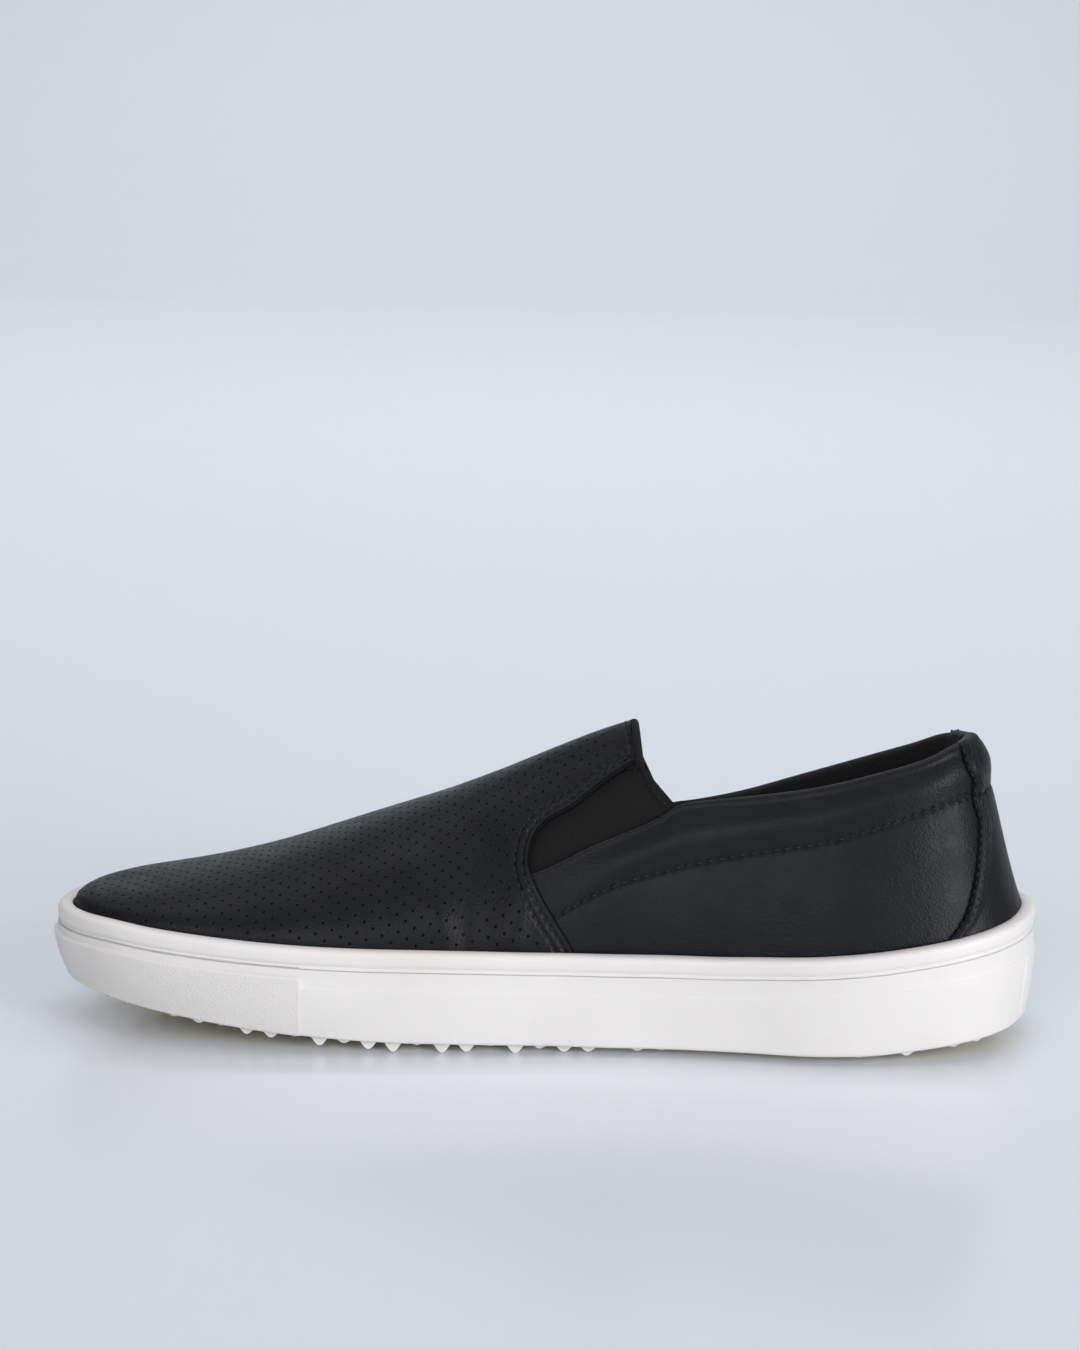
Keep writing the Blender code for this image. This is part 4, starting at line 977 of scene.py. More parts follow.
def make_cup():
    """The white cup, with a stippled bumper round the toe, whose rubber is coloured darker as painted shade.
    """
    turns = sole_turns()
    loops = None
    for side in ("medial", "lateral"):
        foot = outline(side, turns)
        normal = outward(side, turns)
        along = along_of(foot[:, 0])
        columns = []
        for place, away, share in zip(foot, normal, along):
            bumper = place[0] < BUMPER_LENGTH - SOLE_LENGTH / 2
            heel = 1.0 if place[0] > HEEL_PATCH_START else 0.0
            profile = cup_profile(np.array([share]), bumper, heel)
            out, height = (np.array([np.squeeze(row[k]) for row in profile], float) for k in range(2))
            columns.append(np.column_stack((place[0] + away[0] * out, place[1] + away[1] * out, height)))
        grid = np.array(columns).transpose(1, 0, 2)
        loops = grid if loops is None else np.concatenate((loops, grid[:, -2:0:-1]), axis=1)
    rows, size = loops.shape[:2]
    count = len(turns) - 1
    faces = cap_faces(0, count, True)
    stippled = [0] * len(faces)
    first_low = CAVITY_ROWS + len(BEAD) + len(BAND_PARTS) + STEP_ROWS
    body = grid_faces(rows, size, closed_columns=True)
    faces += body
    x = loops[:, :, 0].reshape(-1)
    end = BUMPER_LENGTH - SOLE_LENGTH / 2
    for index, face in enumerate(body):
        row = index // size
        low_side = first_low <= row < rows - FOOT_ROWS
        # The stippled faces take the darker rubber, painted shade on the toe.
        stippled.append(int(low_side and max(x[i] for i in face) < end + 0.2 * MM))
    faces += cap_faces((rows - 1) * size, count)
    stippled += [0] * (len(faces) - len(stippled))
    made = piece("cup_shell", loops.reshape(-1, 3), faces, [SOLE, STIPPLED_AND_SHADED], ["cupsole"],
                 stippled)
    outward_faces(made)
    made.data.set_sharp_from_angle(angle=math.radians(50))
    return made


def tread_edge(side):
    """Edge of the tread in plan, X and Y from toe to heel."""
    turns = np.linspace(0, 1, 400)
    foot = outline(side, turns)
    reach = side_reach(along_of(foot[:, 0]), 0.0, 1.0) - RECESS_INSET - 2 * CLEARANCE
    return foot + outward(side, turns) * reach[:, None]


# How deep the ends of the lugs are at the medial edge, from the toe, over and over
LUG_ENDS = (0.35, 1.0, 0.55, 0.9, 1.0, 0.35, 1.0, 0.9)
# and the share of that depth which shows there: shallow at the toe, none at the waist
LUG_REACH = table("along share", (0.00, 0.25), (0.12, 0.45), (0.24, 0.80), (0.50, 1.00), (0.61, 0.85),
                  (0.66, 0.06), (0.79, 0.06), (0.84, 0.60), (0.92, 0.50), (1.00, 0.35))
ZIGZAGS = 4
TREAD_STEP = 0.55 * MM
TREAD_BORDER = 4.0 * MM     # the lugs' ends are as white as the cup
TREAD_ACROSS = 64


def make_tread():
    """The tread with its zigzag ridges, which fade at the waist and are shallower at the toe."""
    medial, lateral = tread_edge("medial"), tread_edge("lateral")
    first = medial[0, 0] + TREAD_END * LUG_PITCH
    last = medial[-1, 0] - TREAD_END * LUG_PITCH
    lugs = int((last - first) / LUG_PITCH)
    margin = 0.5 * (last - first - (lugs - 1 + LUG_SPAN) * LUG_PITCH)
    fade = ZIGZAG_FADE * LUG_PITCH
    x = np.linspace(medial[0, 0] + 0.05 * MM, medial[-1, 0] - 0.05 * MM,
                    int((medial[-1, 0] - medial[0, 0]) / TREAD_STEP))
    low, high = (np.interp(x, line[:, 0], line[:, 1]) for line in (medial, lateral))
    part = np.linspace(0, 1, TREAD_ACROSS)[None, :]
    y = low[:, None] + (high - low)[:, None] * part
    wave = 1 - np.abs(((part * ZIGZAGS) % 2) - 1)
    wave = -ease(np.clip(wave * 1.1 - 0.05, 0, 1))
    sweep = LUG_SWEEP * ease((x - first) / fade) * ease((last - x) / fade)
    phase = (x[:, None] - sweep[:, None] * wave - first - margin) / LUG_PITCH
    lug = np.floor(phase)
    inside = phase - lug
    ridge = (0.5 - 0.5 * np.cos(2 * math.pi * inside)) ** 0.85
    ridge = np.where((lug >= 0) & (lug < lugs), ridge, 0.0)
    ends = np.array(LUG_ENDS)[lug.astype(int) % len(LUG_ENDS)]
    ends = ends * smooth(LUG_REACH, "share", along_of(x))[:, None]
    from_medial = ease((y - low[:, None]) / LUG_END_WIDTH)
    from_lateral = ease((high[:, None] - y) / LUG_END_WIDTH)
    ridge = ridge * (ends + (1 - ends) * from_medial) * (ends + (1 - ends) * from_lateral)
    along = along_of(x)[:, None]
    base = edge_height(along) + CLEARANCE
    tip = tread_height(along)
    z = base + (tip - base) * ridge
    bottom = np.stack((np.broadcast_to(x[:, None], y.shape), y, z), axis=2)
    top = np.broadcast_to(edge_height(along) + RECESS_DEPTH - CLEARANCE, y.shape)
    plate = np.stack((bottom[:, :, 0], y, top), axis=2)
    points, faces = sheet_mesh(plate, bottom)
    middle = np.array([points[list(face)].mean(axis=0)[:2] for face in faces])
    low, high = (np.interp(middle[:, 0], line[:, 0], line[:, 1]) for line in (medial, lateral))
    border = np.minimum(middle[:, 1] - low, high - middle[:, 1]) < TREAD_BORDER
    made = piece("tread_plate", points, faces, [TREAD, SOLE], ["outsole"],
                 border.astype(int).tolist())
    outward_faces(made)
    made.data.set_sharp_from_angle(angle=math.radians(60))
    return made


LUG_SPAN = 0.72             # length of a lug, in pitches
TREAD_END = 0.6             # the tread's smooth ends, in pitches
ZIGZAG_FADE = 3.0           # the zigzag grows over this many pitches
LUG_END_WIDTH = 7 * MM


def make_footbed():
    """The padded insole with its cloth top, a little hollowed under heel and ball."""
    turns = np.linspace(0, 1, 151)
    turns = turns - 0.5 * np.sin(2 * math.pi * turns) / (2 * math.pi)
    edge = -UPPER_WALL - CLEARANCE
    loops = []
    for inward, higher in FOOTBED_ROWS:
        sides = []
        for side in ("medial", "lateral"):
            foot = outline(side, turns)
            along = along_of(foot[:, 0])
            plan = foot + outward(side, turns) * (edge - inward * INSOLE_MARGIN)
            sides.append(np.column_stack((plan, seat_height(along) + higher)))
        loops.append(np.vstack((sides[0], sides[1][-2:0:-1])))
    size, count = len(loops[0]), len(turns) - 1
    faces = cap_faces(0, count, True) + grid_faces(len(loops), size, closed_columns=True)
    points = np.vstack(loops)
    outer = loops[-1]
    medial, lateral = outer[:count + 1], np.vstack((outer[0:1], outer[:count - 1:-1]))
    across = np.linspace(0, 1, FOOTBED_ACROSS)[None, :, None]
    top = medial[:, None] * (1 - across) + lateral[:, None] * across
    part = across[:, :, 0]
    along = along_of(top[:, :, 0])
    middle = (4 * part * (1 - part)) ** 0.8
    under_heel, under_ball = (depth * np.exp(-((along - place) / 0.09) ** 2) for depth, place in HOLLOWS)
    arch = ARCH_PAD * np.exp(-((along - 0.60) / 0.11) ** 2) * (1 - part) ** 2
    top[:, :, 2] += (arch - under_heel - under_ball) * middle
    start = len(points)
    points = np.vstack((points, top.reshape(-1, 3)))
    faces += grid_faces(count + 1, FOOTBED_ACROSS, start)
    made = piece("footbed", points, faces, FOOTBED, ["insole"])
    outward_faces(made)
    return made


# Sections of the footbed's margin: share of INSOLE_MARGIN inward, and height over its underside
MARGIN_DISH = ((0.0, 0.7), (0.03, 0.95), (0.10, 1.0), (0.25, 0.85), (0.5, 0.5), (0.75, 0.18), (1.0, 0.0))
FOOTBED_ROWS = [(0.0, 0.0)] + [(share, INSOLE_THICKNESS + dish * INSOLE_DISH) for share, dish in MARGIN_DISH]
FOOTBED_ACROSS = 40
HOLLOWS = ((0.9 * MM, 0.86), (0.5 * MM, 0.33))  # depth and place along the shoe, under heel and ball
ARCH_PAD = 1.6 * MM


# The vamp, unrolled

FOOT_LEVEL = -0.30          # the leather ends this far down in the cup
CHART_END = 0.64            # the chart reaches this far along the shoe
CHART_TURNS = 90
CHART_LEVELS = 32
RELAX_STEPS = 900
RELAX_PUSH = 1.6


def vamp_grid(turns, levels):
    """Points from the medial foot over the crown to the lateral foot, one row for each turn."""
    medial = skin("medial", turns[:, None], levels[None, :])
    lateral = skin("lateral", turns[:, None], levels[None, :-1])
    return np.concatenate((medial, lateral[:, ::-1]), axis=1)


def creases(points):
    """Soft folds of the vamp: height over the smooth last, from side view and plan, in metres."""
    x, y, z = (points[..., k] for k in range(3))
    total = np.zeros(x.shape)
    for start_x, start_z, end_x, end_z, width, height, side in CREASES:
        run = np.array((end_x - start_x, end_z - start_z)) * MM
        length = np.hypot(*run)
        across = ((x - start_x * MM) * -run[1] + (z - start_z * MM) * run[0]) / length
        part = ((x - start_x * MM) * run[0] + (z - start_z * MM) * run[1]) / length ** 2
        window = ease((part + 0.25) / 0.3) * ease((1.25 - part) / 0.3)
        here = ease((-y / MM * (1 if side < 0 else -1) - 8.0) / 12.0) if side else 1.0
        total += height * MM * np.exp(-(across / (width * MM)) ** 2) * window * here
    return total


# Folds in side view, in mm: start and end (X, Z), width, height, and the side that has it (-1 medial)
CREASES = (
    (-24.0, 32.0, -19.0, 60.0, 6.0, -1.25, -1),
    (-11.0, 34.0, -4.0, 58.0, 4.5, 1.20, -1),
    (-27.0, 32.0, -40.0, 53.0, 4.5, 0.70, -1),
    (-13.0, 77.0, 22.0, 89.0, 3.5, -1.20, -1),
    (-30.0, 36.0, -22.0, 58.0, 7.0, -0.90, 1),
    (-14.0, 36.0, -6.0, 58.0, 6.0, 0.60, 1),
)


class Chart:
    """The front of the upper laid flat with little stretch, for what is cut or punched in flat leather."""

    def __init__(self):
        share, line = SIDES["medial"]
        self.last_turn = float(np.interp(x_of(CHART_END), line[:, 0], share))
        turns = np.linspace(0, self.last_turn, CHART_TURNS + 1)
        levels = np.linspace(FOOT_LEVEL, 1, CHART_LEVELS + 1)
        grid = vamp_grid(turns, levels)
        flat = self.relax(grid, self.first_guess(grid))
        self.rows, self.columns = 2 * CHART_TURNS + 1, 4 * CHART_LEVELS + 1
        fine_turns = np.linspace(0, self.last_turn, self.rows)
        fine_levels = np.linspace(FOOT_LEVEL, 1, 2 * CHART_LEVELS + 1)
        self.flat = self.finer(flat)
        self.points = vamp_grid(fine_turns, fine_levels)
        self.points = self.points + self.even_normals(self.points) * creases(self.points)[..., None]
        self.normals = self.even_normals(self.points)
        flat3 = np.concatenate((self.flat, np.zeros((self.rows, self.columns, 1))), axis=2).reshape(-1, 3)
        quads = np.array(grid_faces(self.rows, self.columns))
        self.triangles = np.vstack((quads[:, [0, 1, 2]], quads[:, [0, 2, 3]]))
        self.corners = self.flat.reshape(-1, 2)[self.triangles]
        self.tree = BVHTree.FromPolygons(flat3.tolist(), self.triangles.tolist())

    @staticmethod
    def even_normals(grid):
        """Normals that agree along the line where the two sides meet at the toe."""
        normals = grid_normals(grid)
        normals[0] = unit(normals[0] + normals[0, ::-1])
        middle = normals.shape[1] // 2
        normals[:2, middle - 1:middle + 2] = unit(normals[2, middle] + normals[3, middle])
        return normals

    @staticmethod
    def first_guess(grid):
        """Each row of the grid laid out straight to both sides of the crown."""
        middle = (grid.shape[1] - 1) // 2
        along = lengths(grid[:, middle])
        flat = np.zeros(grid.shape[:2] + (2,))
        for row in range(len(grid)):
            crown = grid[row, middle]
            for columns in (range(middle, -1, -1), range(middle, grid.shape[1])):
                columns = list(columns)
                girth = lengths(grid[row, columns])
                away = unit((grid[row, columns[-1]] - crown)[:2])
                flat[row, columns] = (along[row], 0.0) + girth[:, None] * away
        return flat

    @staticmethod
    def relax(grid, flat):
        """Springs along rows, columns and both diagonals pull the chart to the leather's own lengths."""
        rows, columns = grid.shape[:2]
        spans = []
        for down, across in ((0, 1), (1, 0), (1, 1), (1, -1)):
            first = (slice(0, rows - down), slice(max(0, -across), columns - max(0, across)))
            second = (slice(down, rows), slice(max(0, across), columns + min(0, across)))
            spans.append((first, second, np.linalg.norm(grid[second] - grid[first], axis=2)))
        count = np.zeros((rows, columns, 1))
        for first, second, _ in spans:
            count[first] += 1
            count[second] += 1
        count[0] += count[0, ::-1]
        for _ in range(RELAX_STEPS):
            move = np.zeros(flat.shape)
            for first, second, rest in spans:
                gap = flat[second] - flat[first]
                size = np.maximum(np.linalg.norm(gap, axis=2), 1e-9)
                pull = gap * (0.5 * (size - rest) / size)[..., None]
                move[first] += pull
                move[second] -= pull
            move[0] += move[0, ::-1]
            flat = flat + RELAX_PUSH * move / count
        return flat

    @staticmethod
    def finer(grid):
        """The grid with the middles between its points added."""
        for axis in (0, 1):
            middle = 0.5 * (np.take(grid, range(grid.shape[axis] - 1), axis) + np.take(
                grid, range(1, grid.shape[axis]), axis))
            shape = list(grid.shape)
            shape[axis] = 2 * shape[axis] - 1
            wide = np.empty(shape)
            even, odd = [slice(None)] * 3, [slice(None)] * 3
            even[axis], odd[axis] = slice(0, None, 2), slice(1, None, 2)
            wide[tuple(even)], wide[tuple(odd)] = grid, middle
            grid = wide
        return grid

    def flat_of(self, side, turn, level):
        """Place in the chart of points of the upper."""
        row = np.clip(np.asarray(turn, float) / self.last_turn, 0, 1) * (self.rows - 1)
        half = (self.columns - 1) // 2
        column = (np.asarray(level, float) - FOOT_LEVEL) / (1 - FOOT_LEVEL) * half
        column = column if side == "medial" else self.columns - 1 - column
        row, column = np.broadcast_arrays(row, column)
        r = np.clip(row.astype(int), 0, self.rows - 2)
        c = np.clip(column.astype(int), 0, self.columns - 2)
        a, b = (row - r)[..., None], (column - c)[..., None]
        read = self.flat
        return ((1 - a) * (1 - b) * read[r, c] + a * (1 - b) * read[r + 1, c]
                + (1 - a) * b * read[r, c + 1] + a * b * read[r + 1, c + 1])

    def lift(self, flat):
        """Points and normals of the leather at places of the chart."""
        faces = np.zeros(len(flat), int)
        for index, (x, y) in enumerate(flat):
            face = self.tree.ray_cast((x, y, 1.0), (0, 0, -1), 2.0)[2]
            faces[index] = self.tree.find_nearest((x, y, 0.0))[2] if face is None else face
        a, b, c = (self.corners[faces, k] for k in range(3))
        area = (b[:, 0] - a[:, 0]) * (c[:, 1] - a[:, 1]) - (c[:, 0] - a[:, 0]) * (b[:, 1] - a[:, 1])
        d = np.asarray(flat) - a
        second = (d[:, 0] * (c[:, 1] - a[:, 1]) - (c[:, 0] - a[:, 0]) * d[:, 1]) / area
        third = ((b[:, 0] - a[:, 0]) * d[:, 1] - d[:, 0] * (b[:, 1] - a[:, 1])) / area
        weights = np.column_stack((1 - second - third, second, third))
        points, normals = ((field.reshape(-1, 3)[self.triangles[faces]] * weights[:, :, None]).sum(axis=1)
                           for field in (self.points, self.normals))
        return points, unit(normals)


def turn_where(side, levels, gap):
    """For each level the turn at which gap(points) passes from below 0 to above."""
    low = np.full(len(levels), 0.3)
    high = np.full(len(levels), 0.75)
    for _ in range(26):
        middle = 0.5 * (low + high)
        below = gap(skin(side, middle, levels)) < 0
        low, high = np.where(below, middle, low), np.where(below, high, middle)
    return 0.5 * (low + high)


def seam_line(side):
    """Seam of vamp and quarter in side view, from the cup up to the notch."""
    drop = NOTCH_DROP if side == "lateral" else 0.0
    heights = VAMP_SEAM["height"]
    share = (heights - heights[-1]) / (heights[0] - heights[-1])
    line = np.column_stack((x_of(VAMP_SEAM["along"]), heights * INSTEP_HEIGHT - drop * share))
    return line[::-1]


def vamp_border(chart, side):
    """The vamp's free border on one side: from its foot up the seam, round the notch and up to the throat.

    Returns places in the chart, 1 where they lie beside the gore, and where the throat's corner is."""
    seam = bent_fine(seam_line(side))[:-1]
    edge = bent_fine(np.array(vamp_edge(side)))
    edge = edge[edge[:, 0] < throat_x(CORNER_HEIGHT) - TAPE_SHOWS]
    turn, level = locate(side, *np.vstack((seam, edge)).T)
    beside_gore = np.arange(len(turn)) >= len(seam)
    keep = level > FOOT_LEVEL + FOOT_MARGIN
    turn, level = turn[keep], level[keep]
    levels = np.linspace(level[-1], 1.0, THROAT_POINTS)[1:]
    turns = turn_where(side, levels, lambda p: p[:, 0] - (throat_x(p[:, 2]) - TAPE_SHOWS))
    flat = chart.flat_of(side, np.concatenate((turn, turns)), np.concatenate((level, levels)))
    return flat, np.concatenate((beside_gore[keep], np.zeros(len(turns)))).astype(float), len(turn)


def bent_fine(line, steps=10):
    """A smooth curve through the points of a side view, with points added between them."""
    line = np.asarray(line, float)
    reach = lengths(line)
    rows = {"along": reach, "x": line[:, 0], "z": line[:, 1]}
    at = np.linspace(0, reach[-1], steps * (len(line) - 1) + 1)
    return np.column_stack((smooth(rows, "x", at), smooth(rows, "z", at)))


def distance_to(line, places):
    """Distance of places to a polyline, and how far along it the nearest point lies."""
    start, run = line[:-1], np.diff(line, axis=0)
    reach = lengths(line)
    best = np.full(len(places), 1e9)
    where = np.zeros(len(places))
    size = np.maximum((run ** 2).sum(axis=1), 1e-18)
    for index in range(len(run)):
        part = np.clip(((places - start[index]) * run[index]).sum(axis=1) / size[index], 0, 1)
        gap = np.linalg.norm(places - start[index] - part[:, None] * run[index], axis=1)
        closer = gap < best
        best = np.where(closer, gap, best)
        where = np.where(closer, reach[index] + part * math.sqrt(size[index]), where)
    return best, where


def inside_polygon(polygon, places):
    """Which places lie inside a closed outline."""
    x, y = places[:, 0], places[:, 1]
    inside = np.zeros(len(places), bool)
    for (ax, ay), (bx, by) in zip(polygon, np.roll(polygon, -1, axis=0)):
        crossing = (ay > y) != (by > y)
        if crossing.any():
            at = ax + (y - ay) / (by - ay if by != ay else 1e-12) * (bx - ax)
            inside ^= crossing & (x < at)
    return inside


HOLE_PITCH = 3.65 * MM
HOLE_TURN = 45.0            # the punched rows run at this angle to the shoe's length
HOLE_SIDES = 8
HOLE_RINGS = ((0.56, 0.00), (0.45, 0.09), (0.40, 0.28), (0.38, 0.85))  # radius and depth, mm
HOLE_BORDER = 6.9 * MM      # unpunched border
RIM_BORDER = 1.0 * MM
FINE_BORDER = 6.4 * MM      # inside it the mesh has points between the holes
SMOOTH_BORDER = 6.0 * MM    # inside it the shading follows the smooth last
STITCH_ROWS = (2.1 * MM, 4.6 * MM)
VAMP_STITCH = (3.0 * MM, 2.1 * MM, 0.27 * MM, 0.16 * MM)    # pitch, length, radius and height
BORDER_ROWS = (0.35, 0.8, 1.25, 1.7, 2.1, 2.5, 2.95, 3.4, 3.8, 4.2, 4.6, 5.0, 5.5, 6.1)    # mm from the edge
BORDER_STEP = 0.8 * MM
FOOT_STEP = 1.2 * MM
FOOT_MARGIN = 0.01          # of the levels, that the leather's foot keeps from the chart's edge
THROAT_POINTS = 28
EDGE_FOLD = 1.0 * MM        # depth of the folded edge where no gore lies under it
TAPE_SHOWS = 1.9 * MM       # the leather ends this far from the throat's end
THROAT_ROW = 1.5 * MM


def nearest(lines, places):
    """Distance of places to the nearest of some lines, and how far along that line."""
    found = [distance_to(line, places) for line in lines]
    gaps, places_along = (np.array([pair[k] for pair in found]) for k in range(2))
    which = gaps.argmin(axis=0)[None]
    return np.take_along_axis(gaps, which, 0)[0], np.take_along_axis(places_along, which, 0)[0]


def all_relief(side_lines, throat_line, places):
    """Height of the leather along the two side borders and along the throat's end."""
    height = border_relief(*nearest(side_lines, places))
    gap, where = distance_to(throat_line, places)
    near = np.exp(-((gap - THROAT_ROW) / (0.45 * MM)) ** 2)
    return height - near * (0.16 * MM + 0.30 * MM * needle_pits(where, VAMP_STITCH[0]))


def needle_pits(where, pitch):
    """Peaks of 1 at each needle hole along a seam."""
    return (0.5 + 0.5 * np.cos(2 * math.pi * where / pitch)) ** 3


def border_relief(gap, where):
    """Height of the leather beside its edge: troughs along both rows and a pit at each needle hole."""
    height = 0.10 * MM * np.exp(-((gap - 0.9 * MM) / (0.5 * MM)) ** 2)
    height += 0.12 * MM * np.exp(-((gap - 3.35 * MM) / (0.7 * MM)) ** 2)
    for row in STITCH_ROWS:
        near = np.exp(-((gap - row) / (0.50 * MM)) ** 2)
        height -= near * (0.16 * MM + 0.60 * MM * needle_pits(where, VAMP_STITCH[0]))
    return height * ease((6.2 * MM - gap) / (1.5 * MM))


def inward(line, polygon):
    """Unit vectors in the chart from a line of the border into the leather."""
    normal = np.gradient(line, axis=0)
    normal = unit(np.column_stack((normal[:, 1], -normal[:, 0])))
    return -normal if inside_polygon(polygon, line + normal * 1.0 * MM).mean() < 0.5 else normal


class VampPattern:
    """The vamp's flat pattern: its outline in the chart, with the lines that its stitches follow."""

    def __init__(self, chart):
        borders, lines, foots, sides = {}, {}, {}, ("medial", "lateral")
        corners = {}
        for side in sides:
            border, deep, corners[side] = vamp_border(chart, side)
            borders[side], lines[side] = border, resample(border, BORDER_STEP, deep)
            turns = np.linspace(0, chart.last_turn, 200)
            foot = chart.flat_of(side, turns, np.full(200, FOOT_LEVEL + FOOT_MARGIN))
            foots[side] = resample(foot[:int(np.argmin(np.linalg.norm(foot - border[0], axis=1)))], FOOT_STEP)
        medial, lateral = (lines[side] for side in sides)
        self.free = np.vstack((medial[0], lateral[0][::-1][1:]))
        self.beside_gore = np.concatenate((medial[1], lateral[1][::-1][1:]))
        self.outline = np.vstack((foots["medial"], self.free, foots["lateral"][::-1][:-1]))
        self.free_ids = np.arange(len(self.free)) + len(foots["medial"])
        self.sides = []
        for side in sides:
            line = borders[side][:corners[side]]
            ahead = unit(line[-1] - line[-4])
            self.sides.append(resample(np.vstack((line, line[-1] + ahead * 12 * MM)), BORDER_STEP))
        ends = [borders[side][corners[side] - 1:] for side in sides]
        self.throat = np.vstack((ends[0], ends[1][::-1][1:]))

    def relief(self, places):
        return all_relief(self.sides, self.throat, places)

    def within(self, places, margin):
        """The places that lie inside the outline and further than a margin from its free border."""
        return places[inside_polygon(self.outline, places) & (distance_to(self.free, places)[0] > margin)]


def punched_holes(chart, pattern):
    """Centres of the holes, their upper rings, and the points of the mesh between them."""
    angle = math.radians(HOLE_TURN)
    axes = HOLE_PITCH * np.array(((math.cos(angle), math.sin(angle)), (-math.sin(angle), math.cos(angle))))
    reach = int(0.25 / HOLE_PITCH)
    steps = np.arange(-reach, reach + 1)
    lattice = (steps[:, None, None] * axes[0] + steps[None, :, None] * axes[1]).reshape(-1, 2)
    lattice = lattice[inside_polygon(pattern.outline, lattice)]
    points, _ = chart.lift(lattice)
    above = points[:, 2] - rim_height(along_of(points[:, 0]))
    gap, _ = distance_to(pattern.free, lattice)
    centres = lattice[(gap > HOLE_BORDER) & (above > RIM_BORDER)]
    radius = HOLE_RINGS[0][0] * MM
    rings = centres[:, None] + radius * hole_ring()[None]
    middle, _ = chart.lift(centres)
    around, _ = chart.lift(rings.reshape(-1, 2))
    size = np.linalg.norm(around.reshape(-1, HOLE_SIDES, 3) - middle[:, None], axis=2)
    even = (size.max(axis=1) < 1.5 * radius) & (size.min(axis=1) > 0.5 * radius)
    between = [lattice + 0.5 * (axes[0] + axes[1]), lattice + 0.5 * axes[0], lattice + 0.5 * axes[1]]
    return centres[even], rings[even], pattern.within(np.vstack(between), FINE_BORDER)


def hole_ring():
    angles = 2 * math.pi * (np.arange(HOLE_SIDES) + 0.5) / HOLE_SIDES
    return np.column_stack((np.cos(angles), np.sin(angles)))


def border_points(pattern):
    """Rows of points beside the free border, fine enough for its relief."""
    line, normal = resample(pattern.free, 0.75 * MM, inward(pattern.free, pattern.outline))
    rows = [pattern.within(line + unit(normal) * offset * MM, (offset - 0.06) * MM) for offset in BORDER_ROWS]
    return np.vstack(rows)


def punched_sheet(pattern, rings, extra):
    """Flat mesh of the leather with its holes: points, triangles, and the point made from each given one."""
    outline, count = pattern.outline, len(pattern.outline)
    closed = np.vstack((outline, outline[:1]))
    extra = extra[distance_to(closed, extra)[0] > 0.3 * MM]
    places = np.vstack((outline, rings.reshape(-1, 2), extra))
    hole_ids = np.arange(rings.shape[0] * HOLE_SIDES).reshape(-1, HOLE_SIDES)
    edges = [(i, (i + 1) % count) for i in range(count)]
    for hole in (hole_ids + count).tolist():
        edges += list(zip(hole, hole[1:] + hole[:1]))
    scaled = [Vector((float(x), float(y))) for x, y in places * 1000]
    out = delaunay_2d_cdt(scaled, edges, [], 1, 1e-4)
    flat = np.array([v[:] for v in out[0]]) / 1000
    faces = np.array([face for face in out[2]])
    level_rings = np.column_stack((rings.reshape(-1, 2), np.zeros(rings.size // 2)))
    holes = BVHTree.FromPolygons(level_rings.tolist(), hole_ids.tolist())
    punched = np.array([holes.ray_cast((x, y, 1.0), (0, 0, -1), 2.0)[2] is not None
                        for x, y in flat[faces].mean(axis=1)])
    source = {origin: index for index, origins in enumerate(out[3]) for origin in origins}
    return flat, faces[~punched], source


def make_vamp(chart):
    """The vamp's punched leather with its folded edge."""
    pattern = VampPattern(chart)
    centres, rings, between = punched_holes(chart, pattern)
    extra = np.vstack((between, border_points(pattern)))
    flat, sheet, source = punched_sheet(pattern, rings, extra)
    points, normals = chart.lift(flat)
    points = points + normals * pattern.relief(flat)[:, None]
    all_points, all_faces, kinds = [points], sheet.tolist(), [0] * len(sheet)

    # Holes: the rings below the one in the surface, and a bottom. Below the first ring the walls and the
    # bottom take the near-black finish, painted shade deep in the hole.
    for radius, depth in HOLE_RINGS[1:]:
        lower, up = chart.lift((centres[:, None] + radius * MM * hole_ring()[None]).reshape(-1, 2))
        all_points.append(lower - up * depth * MM)
    ring_points = len(centres) * HOLE_SIDES
    for hole in range(len(centres)):
        first = hole * HOLE_SIDES
        upper = [source[len(pattern.outline) + first + k] for k in range(HOLE_SIDES)]
        for index in range(len(HOLE_RINGS) - 1):
            start = len(points) + index * ring_points + first
            low = list(range(start, start + HOLE_SIDES))
            for k in range(HOLE_SIDES):
                m = (k + 1) % HOLE_SIDES
                all_faces.append((upper[k], upper[m], low[m], low[k]))
                kinds.append(0 if index == 0 else 1)
            upper = low
        all_faces.append(tuple(upper))
        kinds.append(1)
    count = len(points) + ring_points * (len(HOLE_RINGS) - 1)

    # The folded edge: rounded over, down through the wall and a little back underneath
    previous = [source[i] for i in pattern.free_ids]
    here, step = points[previous], inward(pattern.free, pattern.outline) * 1.5 * MM
    _, up = chart.lift(pattern.free)
    out_way = unit(chart.lift(pattern.free - step)[0] - chart.lift(pattern.free + step)[0])
    fold = np.where(pattern.beside_gore > 0.5, UPPER_WALL - 0.1 * MM, EDGE_FOLD)
    fold = np.convolve(np.pad(fold, 3, mode="edge"), np.ones(7) / 7, mode="valid")
    for out_share, down in FOLD_ROWS:
        all_points.append(here + out_way * (out_share * FOLD_ROUND) - up * (down * fold)[:, None])
        ids = list(range(count, count + len(here)))
        all_faces += list(zip(previous, previous[1:], ids[1:], ids))
        kinds += [0] * (len(ids) - 1)
        previous = ids
        count += len(ids)
    made = piece("vamp_leather", np.vstack(all_points), all_faces, [VAMP_LEATHER, HOLE_WALL_AND_SHADE],
                 ["upper"], kinds)
    smooth_shading(made.data, normals, distance_to(pattern.free, flat)[0] > SMOOTH_BORDER, len(sheet))
    sew_vamp(chart, pattern)
    return made


